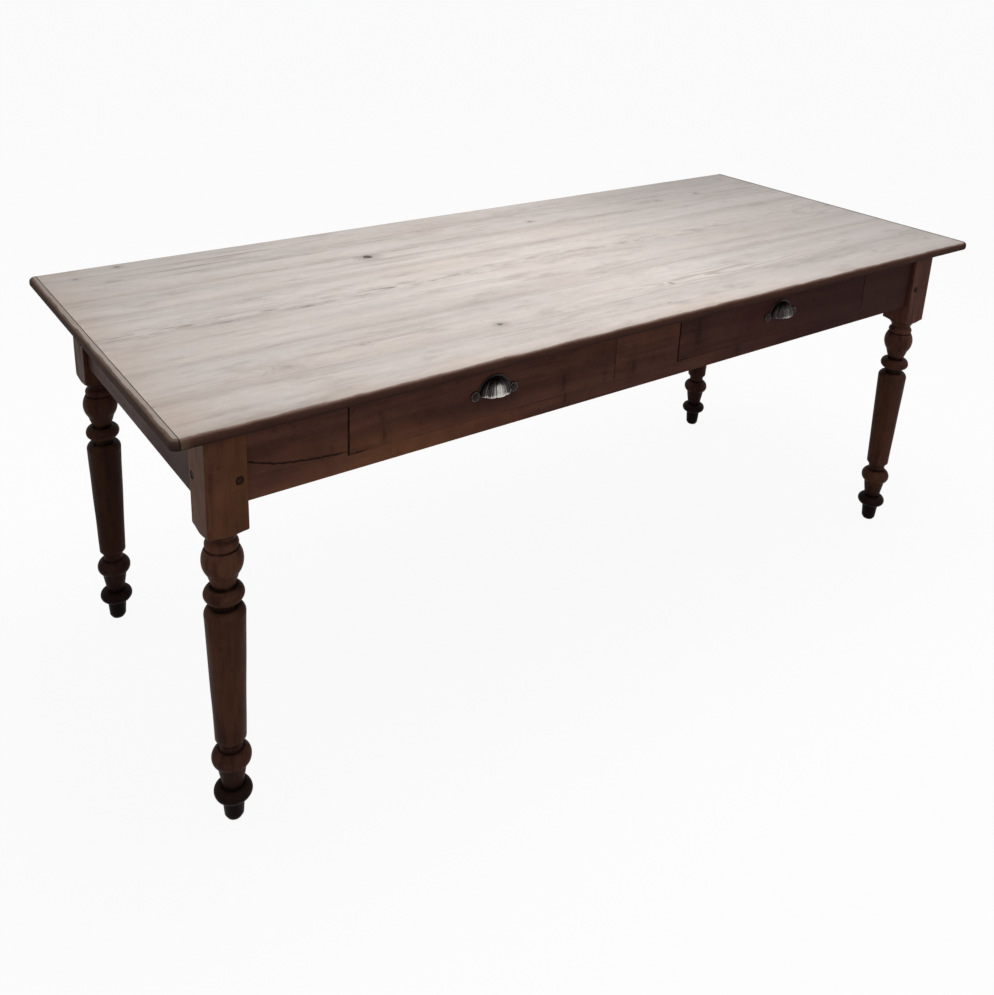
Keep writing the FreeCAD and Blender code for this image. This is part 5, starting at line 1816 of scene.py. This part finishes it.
@dataclass(frozen=True)
class CupPull:
    """An iron cup pull, cast as a fan of petals, with an ear at each side.

    Attributes:
        side: Which drawer, as its nodes are named.
        body: The drawer that it moves with.
        half_width: Half the width of the cup.
        height: Height of the cup above its lip.
        depth: How far the cup stands out.
        wall: Thickness of the casting.
        rim: Width of the flat rim behind the cup.
        plate: Thickness of the rim.
        rim_wear: Wear of the rim.
        ear_place: Distance of an ear from the middle of the cup.
        ear_radius: Radius of an ear.
        hole: Radius of its hole.
        slot_length: Half the length of a screw's slot.
        petals: Petals in the fan.
        flutes: Fine flutes in a petal.
        petal_swell: How far a petal stands out between the creases beside it.
        flute_swell: How far a flute stands out.
        curl: How far the lip curls out.
        dip: How far the lip dips under the middle of a petal.
        rub_and_highlight_level: How bright its rubbed crests and its painted highlights are, times the usual.
    """

    side: str
    body: Body
    half_width: float = 32 * MM
    height: float = 30 * MM
    depth: float = 23 * MM
    wall: float = 2.2 * MM
    rim: float = 3.5 * MM
    plate: float = 2 * MM
    rim_wear: float = 0.2
    ear_place: float = 41 * MM
    ear_radius: float = 9.5 * MM
    hole: float = 4.3 * MM
    slot_length: float = 4.6 * MM
    petals: int = 5
    flutes: int = 4
    petal_swell: float = 1.7 * MM
    flute_swell: float = 0.12 * MM
    curl: float = 1.3 * MM
    dip: float = 1.2 * MM
    rub_and_highlight_level: float = 1.0

    def build(self) -> None:
        """Builds the cup, its rim, its ears and the two screws."""
        low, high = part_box(self.side + "_cup_pull")
        place = np.array([(low.x + high.x) / 2, high.y, low.z + self.ear_radius])
        ear_spots = [place + (way * self.ear_place, 0, 0) for way in (-1, 1)]
        # The cup's wear holds painted highlights as well as rubbing.
        cup, cup_rub_and_highlight = self.cup()
        rim = self.back_rim()
        ear, ear_wear = self.ear()
        grids = [cup + place, rim + place, *(ear + spot for spot in ear_spots)]
        wear = [cup_rub_and_highlight, np.full(rim.shape[:2], self.rim_wear), ear_wear, ear_wear]
        pull = skin(self.side + "_iron_pull", grids, wear)
        settle(pull, self.body, Slot.IRON, [IRON.coat(self.side + "_iron")], [self.side + "_cup_pull"])
        screws = skin(self.side + "_slotted_screws", [self.screw() + spot for spot in ear_spots])
        for spot, turn in zip(ear_spots, (-0.5, 1.5)):
            carve(screws, slot_cutter(spot - (0, 4.1 * MM, 0), turn, self.slot_length))
        steel = STEEL.coat(self.side + "_steel", rub=0.2)
        settle(screws, self.body, Slot.STEEL, [steel], [self.side + "_pull_screws"])

    def cup(self) -> tuple[np.ndarray, np.ndarray]:
        """The hollow cup.

        Formula: x = -a cos t cos f, y = -d sin t cos f, z = h sin f, a quarter of an
        egg. Outside, every fan petal swells by the root of the cosine of its own
        angle and is scored with fine flutes; the lip curls out and dips under each
        petal. Inside lies the same form, smaller by the wall.

        Returns:
            The points and their wear, which also holds painted highlights.
        """
        turn = np.linspace(0, math.pi, 141)
        lift = np.linspace(0, QUARTER_TURN, 40)[:, None]
        share = turn / math.pi * self.petals
        part = share - np.floor(share) - 0.5
        part[-1] = 0.5
        swell = np.sqrt(np.clip(np.cos(math.pi * part), 0, 1))
        flute = np.cos(FULL_TURN * self.flutes * part) * swell
        fade = 0.3 * np.sin(2 * np.clip(lift, 0, math.pi / 4)) ** 0.5 + 0.7 * np.cos(lift) ** 0.7
        relief = fade * (self.petal_swell * (swell - 1) + self.flute_swell * flute)
        curl = self.curl * bell(lift, 0, 0.13)
        dip = self.dip * swell * bell(lift, 0, 0.25)
        outside = self.shell(turn, lift, relief + curl, dip)
        inside = self.shell(turn, lift, np.full_like(relief, -self.wall), dip * 0.8)[:, ::-1]
        loop = np.concatenate([outside, inside], axis=1)
        middle = (outside[0] + inside[0][::-1]) / 2
        rounds = []
        for thickness, drop in ((0.0, -0.7), (0.55, -0.5), (0.85, -0.25)):
            out = middle + (outside[0] - middle) * thickness
            back = (middle + (inside[0][::-1] - middle) * thickness)[::-1]
            rounds.append(np.concatenate([out, back]) + (0, 0, drop * MM))
        top = np.concatenate([np.broadcast_to(half[-1, 0], half[-1].shape) for half in (outside, inside)])
        grid = np.concatenate([np.stack(rounds), loop, top[None]])
        # The rubbed lip is wear. The bright patch on the crown and the bright petal edges are painted
        # highlights, and the upper cup is kept dark, partly as painted shadow under the top.
        highlight_patch = bell(turn, math.pi * 0.47, 0.5)
        petal_edge_highlight = bell(np.abs(part), 0.4, 0.05)
        rub_and_highlight = 0.12 + ease(1.15, 0.45, lift) * (0.62 * highlight_patch * swell + 0.12 * flute + 0.42 * petal_edge_highlight)
        rub_and_highlight = self.rub_and_highlight_level * (rub_and_highlight + 0.4 * bell(lift, 0, 0.1))
        wear = np.concatenate([rub_and_highlight, np.full(rub_and_highlight.shape, 0.25)], axis=1)
        return grid, np.concatenate([np.repeat(wear[:1], 3, axis=0), wear, wear[-1:]])

    def shell(self, turn: np.ndarray, lift: np.ndarray, further: np.ndarray, dip: np.ndarray) -> np.ndarray:
        """One skin of the cup.

        Args:
            turn: Angles round the cup, from its left end to its right end.
            lift: Angles up from the lip.
            further: How far each point is moved outward.
            dip: How far it is moved down.

        Returns:
            The points.
        """
        wide, deep, high = (size + further for size in (self.half_width, self.depth, self.height))
        x = -wide * np.cos(turn) * np.cos(lift)
        y = -deep * np.sin(turn) * np.cos(lift)
        z = high * np.sin(lift) - dip
        return np.stack(np.broadcast_arrays(x, np.minimum(y, 0), np.maximum(z, -1.5 * MM)), -1)

    def back_rim(self) -> np.ndarray:
        """The flat rim behind the cup.

        Formula: half an oval band with rounded edges; each row has its outer and its
        inner line as shares of the band's width, and its distance to the front as a
        share of the plate.

        Returns:
            The points.
        """
        turn = np.linspace(0, math.pi, 97)

        def arch(share: float) -> np.ndarray:
            """Half an oval, wider than the cup by a share of the rim."""
            wide, high = self.half_width + self.rim * share, self.height + self.rim * share
            return np.stack([-wide * np.cos(turn), np.zeros_like(turn), high * np.sin(turn)], -1)

        rows = ((0.2, 0.2, 0.0), (1.0, -0.6, 0.0), (1.0, -0.6, -0.65), (0.8, -0.5, -1.0), (0.2, 0.2, -1.0))
        return np.stack([
            np.concatenate([arch(outer), arch(inner)[::-1]]) + (0, front * self.plate, 0)
            for outer, inner, front in rows
        ])

    def ear(self) -> tuple[np.ndarray, np.ndarray]:
        """An ear: a ring with a raised rim, a hollow and a hole, turned about the screw.

        Returns:
            The points and their wear.
        """
        hole = self.hole / MM
        outline = np.array([
            (hole, 0.0), (9.5, 0.0), (9.5, 1.7), (9.1, 2.6), (8.3, 3.0), (7.5, 2.7),
            (6.9, 1.9), (6.2, 1.5), (5.4, 1.6), (4.8, 1.5), (hole, 1.1), (hole, 0.0),
        ]) * MM
        wear = np.array([0.2, 0.2, 0.2, 0.3, 0.45, 0.3, 0.15, 0.1, 0.1, 0.1, 0.05, 0.05])
        grid = revolved(outline, 48)
        return grid, np.broadcast_to(wear[:, None], grid.shape[:2])

    def screw(self) -> np.ndarray:
        """The low dome of a screw's head, with its shank behind it."""
        outline = (
            (0.0, -15.0), (2.0, -15.0), (2.0, 1.0), (4.2, 1.0),
            (4.2, 1.9), (3.6, 2.5), (2.0, 2.9), (0.0, 3.0),
        )
        return revolved(np.array(outline) * MM, 32)


def slot_cutter(spot: np.ndarray, turn: float, half_length: float) -> bpy.types.Object:
    """A thin block that cuts the slot of a screw head.

    Args:
        spot: The middle of the block.
        turn: How far the slot is turned, in radians.
        half_length: Half the length of the slot.

    Returns:
        The block.
    """
    way = np.array([math.cos(turn), 0.0, math.sin(turn)]) * half_length
    side = np.array([-math.sin(turn), 0.0, math.cos(turn)]) * 0.5 * MM
    corners = np.stack([way + side, side - way, -way - side, way - side])
    rows = [spot + corners + (0, depth * MM, 0) for depth in (-1.5, 2.2)]
    return skin("slot", [np.stack([pole(rows[0]), *rows, pole(rows[1])])])


def dress_hidden() -> None:
    """Finishes the construction's own nodes that stay as they are, inside the table."""
    raw = (
        "middle_cross_rail", "top_buttons", "drawer_stops", "left_drawer_left_runner",
        "left_drawer_right_runner", "right_drawer_left_runner", "right_drawer_right_runner",
    )
    for number, node in enumerate(raw):
        low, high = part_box(node)
        cut = Cut(Along.Y, tuple((low + high) / 2), (0.02, -0.04), 200.0 + 9 * number)
        wear_in(node, Slot.RAW, RAW.coat("raw_" + node, cut))
    wear_in("top_screws", Slot.STEEL, STEEL.coat("steel_top_screws", rub=0.35))


def wear_in(node: str, slot: Slot, coat: bpy.types.Material) -> None:
    """Gives a construction node its finish.

    Args:
        node: The construction node.
        slot: The record's name for the finish.
        coat: The material.
    """
    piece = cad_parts[node]
    piece.data.materials.clear()
    piece.data.materials.append(coat)
    log.info("%s: the construction's own piece, %s", node, slot.value)


def dressed_pieces() -> list[Dressed]:
    """The flat pieces: the aprons and the boards of the two drawers."""
    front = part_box("front_apron")[0].y
    under_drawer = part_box("left_drawer_front")[0].z

    def smudges(*spots: Spot) -> tuple[Knot, ...]:
        """Dark smudges on the front, each given as X, height and radius."""
        return tuple(Knot((x, front, z), radius, 0.45, 1.0) for x, z, radius in spots)

    def painted_gap_shadow(x: float) -> Knot:
        """A painted shadow: the dark slit of shade that shows under a drawer front, beside its open left end.
        """
        return Knot((x, front, under_drawer), 1.5 * MM, 0.9, 12.0)

    table, stained, raw = Body.TABLE, Slot.STAINED, Slot.RAW
    apron_marks = smudges((-0.055, 0.655, 0.007), (0.245, 0.624, 0.006), (-0.225, 0.626, 0.005))
    pieces = [
        Dressed(
            "front_apron", table, stained, tone=0.62, inside=(0, 1, 0), split=Split(), bevel=0.7 * MM,
            knots=apron_marks,
        ),
        Dressed("back_apron", table, stained, tone=0.4, inside=(0, -1, 0)),
        Dressed("left_apron", table, stained, tone=0.35, inside=(1, 0, 0), along=Along.Y, light=0.85),
        Dressed("right_apron", table, stained, tone=0.35, inside=(-1, 0, 0), along=Along.Y, light=1.1),
    ]
    left_marks = (*smudges((-0.610, 0.655, 0.006), (-0.230, 0.662, 0.008)), painted_gap_shadow(-0.660))
    right_marks = (*smudges((0.120, 0.690, 0.014)), painted_gap_shadow(0.082))
    for body, tone, marks in ((Body.LEFT_DRAWER, 0.55, left_marks), (Body.RIGHT_DRAWER, 0.2, right_marks)):
        name = body.value + "_"
        pieces += [
            Dressed(name + "front", body, stained, tone=tone, inside=(0, 1, 0), bevel=0.6 * MM, knots=marks),
            Dressed(name + "left_side", body, raw, bevel=0.4 * MM, along=Along.Y),
            Dressed(name + "right_side", body, raw, bevel=0.4 * MM, along=Along.Y),
            Dressed(name + "back", body, raw, bevel=0.4 * MM),
            Dressed(name + "bottom", body, raw, bevel=0.5 * MM),
        ]
    return pieces


@dataclass(frozen=True)
class Lens:
    """The camera that the photograph was taken with.

    Attributes:
        place: Where it stands.
        turn: How far round it stands, in degrees, from straight in front.
        climb: How far above the level it looks down from, in degrees.
        tilt: How far it leans to one side, in degrees.
        length: Focal length in millimetres, for the sensor's width.
        sensor: Width of the sensor in millimetres.
        shift: How far the picture is cut off centre, as shares of its width.
        sight: Nearest and furthest distance that it sees.
    """

    place: Spot = (-1.3941, -1.6814, 1.4620)
    turn: float = -36.1226
    climb: float = 18.2190
    tilt: float = -2.2563
    length: float = 37.8447
    sensor: float = 36.0
    shift: Pair = (0.0112, -0.2327)
    sight: Pair = (0.05, 100.0)

    def build(self) -> None:
        """Adds the camera and looks through it."""
        camera = bpy.data.cameras.new("lens")
        camera.lens = self.length
        camera.sensor_width = self.sensor
        camera.shift_x, camera.shift_y = self.shift
        camera.clip_start, camera.clip_end = self.sight
        camera.dof.use_dof = False
        turn, climb, tilt = (math.radians(angle) for angle in (self.turn, self.climb, self.tilt))
        back = Vector((math.sin(turn) * math.cos(climb), -math.cos(turn) * math.cos(climb), math.sin(climb)))
        across = Vector((0, 0, 1)).cross(back).normalized()
        level = Matrix((across, back.cross(across), back)).transposed()
        holder = placed("camera", camera)
        leaning = level @ Matrix.Rotation(-tilt, 3, "Z")
        holder.matrix_world = Matrix.Translation(self.place) @ leaning.to_4x4()
        bpy.context.scene.camera = holder


@dataclass(frozen=True)
class Lamp:
    """One soft round lamp.

    Attributes:
        name: Name of the lamp.
        place: Where it hangs.
        aim: The point that it faces.
        power: Its power in watts.
        tint: Its colour.
        size: Width of its face.
    """

    name: str
    place: Spot
    aim: Spot
    power: float
    tint: Spot
    size: float = 1.8

    def build(self) -> None:
        """Hangs the lamp and turns it to its aim."""
        light = bpy.data.lights.new(self.name, "AREA")
        light.shape = "DISK"
        light.size = self.size
        light.energy = self.power
        light.color = self.tint
        way = Vector(self.aim) - Vector(self.place)
        turned = way.to_track_quat("-Z", "Y").to_matrix().to_4x4()
        placed(self.name, light).matrix_world = Matrix.Translation(self.place) @ turned


@dataclass(frozen=True)
class Studio:
    """A plain white room with soft light from above.

    Attributes:
        floor_size: Width of the floor.
        shadow: How much of the object's shadow the camera sees on the floor.
        room: Brightness of the room as the object sees it.
        white: The white that the camera sees.
        floor_paint: The floor as the object sees it.
        lamps: The lamps.
    """

    floor_size: float = 60.0
    shadow: float = 0.08
    room: float = 0.5
    white: Colour = srgb(255, 255, 255)
    floor_paint: Colour = srgb(190, 188, 186)
    lamps: tuple[Lamp, ...] = (
        Lamp("overhead", (0.1, 0.0, 2.6), (0.1, 0.0, 0.6), 28.0, (1.0, 0.985, 0.98)),
        Lamp("window", (-1.0, -3.4, 2.0), (0.0, 0.0, 0.5), 6.0, (0.98, 0.99, 1.0)),
    )

    def build(self) -> None:
        """Adds the floor, the world and the lamps."""
        self.floor()
        self.world()
        for lamp in self.lamps:
            lamp.build()

    def floor(self) -> None:
        """Adds a wide floor that shows white and keeps the object's shadow."""
        half = self.floor_size / 2
        mesh = bpy.data.meshes.new("floor")
        corners = [(-half, -half, 0), (half, -half, 0), (half, half, 0), (-half, half, 0)]
        mesh.from_pydata(corners, [], [(0, 1, 2, 3)])
        floor = placed("floor", mesh)
        graph = Graph(bpy.data.materials.new("white_floor"))
        matte = graph.add("BsdfDiffuse", {"Color": self.floor_paint}).outputs[0]
        shadowed = graph.add("BsdfDiffuse", {"Color": self.white}).outputs[0]
        glow = graph.add("Emission", {"Color": self.white, "Strength": 1.0}).outputs[0]
        bright = graph.add("MixShader", {0: self.shadow, 1: glow, 2: shadowed}).outputs[0]
        both = graph.add("MixShader", {0: graph.looked_at(), 1: matte, 2: bright}).outputs[0]
        graph.add("OutputMaterial", {"Surface": both})
        mesh.materials.append(graph.owner)

    def world(self) -> None:
        """Makes the room white where the camera looks past the floor, and softer as a light."""
        graph = Graph(bpy.data.worlds.new("white_room"))
        strength = graph.looked_at() * (1.0 - self.room) + self.room
        background = graph.add("Background", {"Color": self.white, "Strength": strength})
        graph.add("OutputWorld", {"Surface": background.outputs[0]})
        bpy.context.scene.world = graph.owner


def main() -> None:
    """Builds the dressed table and its studio."""
    logging.basicConfig(level=logging.INFO, format="%(message)s")
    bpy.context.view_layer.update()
    TableTop().build()
    TurnedLegs().build()
    for number, piece in enumerate(dressed_pieces()):
        piece.build(number)
    CupPull("left", Body.LEFT_DRAWER).build()
    CupPull("right", Body.RIGHT_DRAWER, rub_and_highlight_level=0.6).build()
    dress_hidden()
    Studio().build()
    Lens().build()
    bpy.context.scene.view_settings.view_transform = "Standard"


if __name__ == "__main__":
    main()
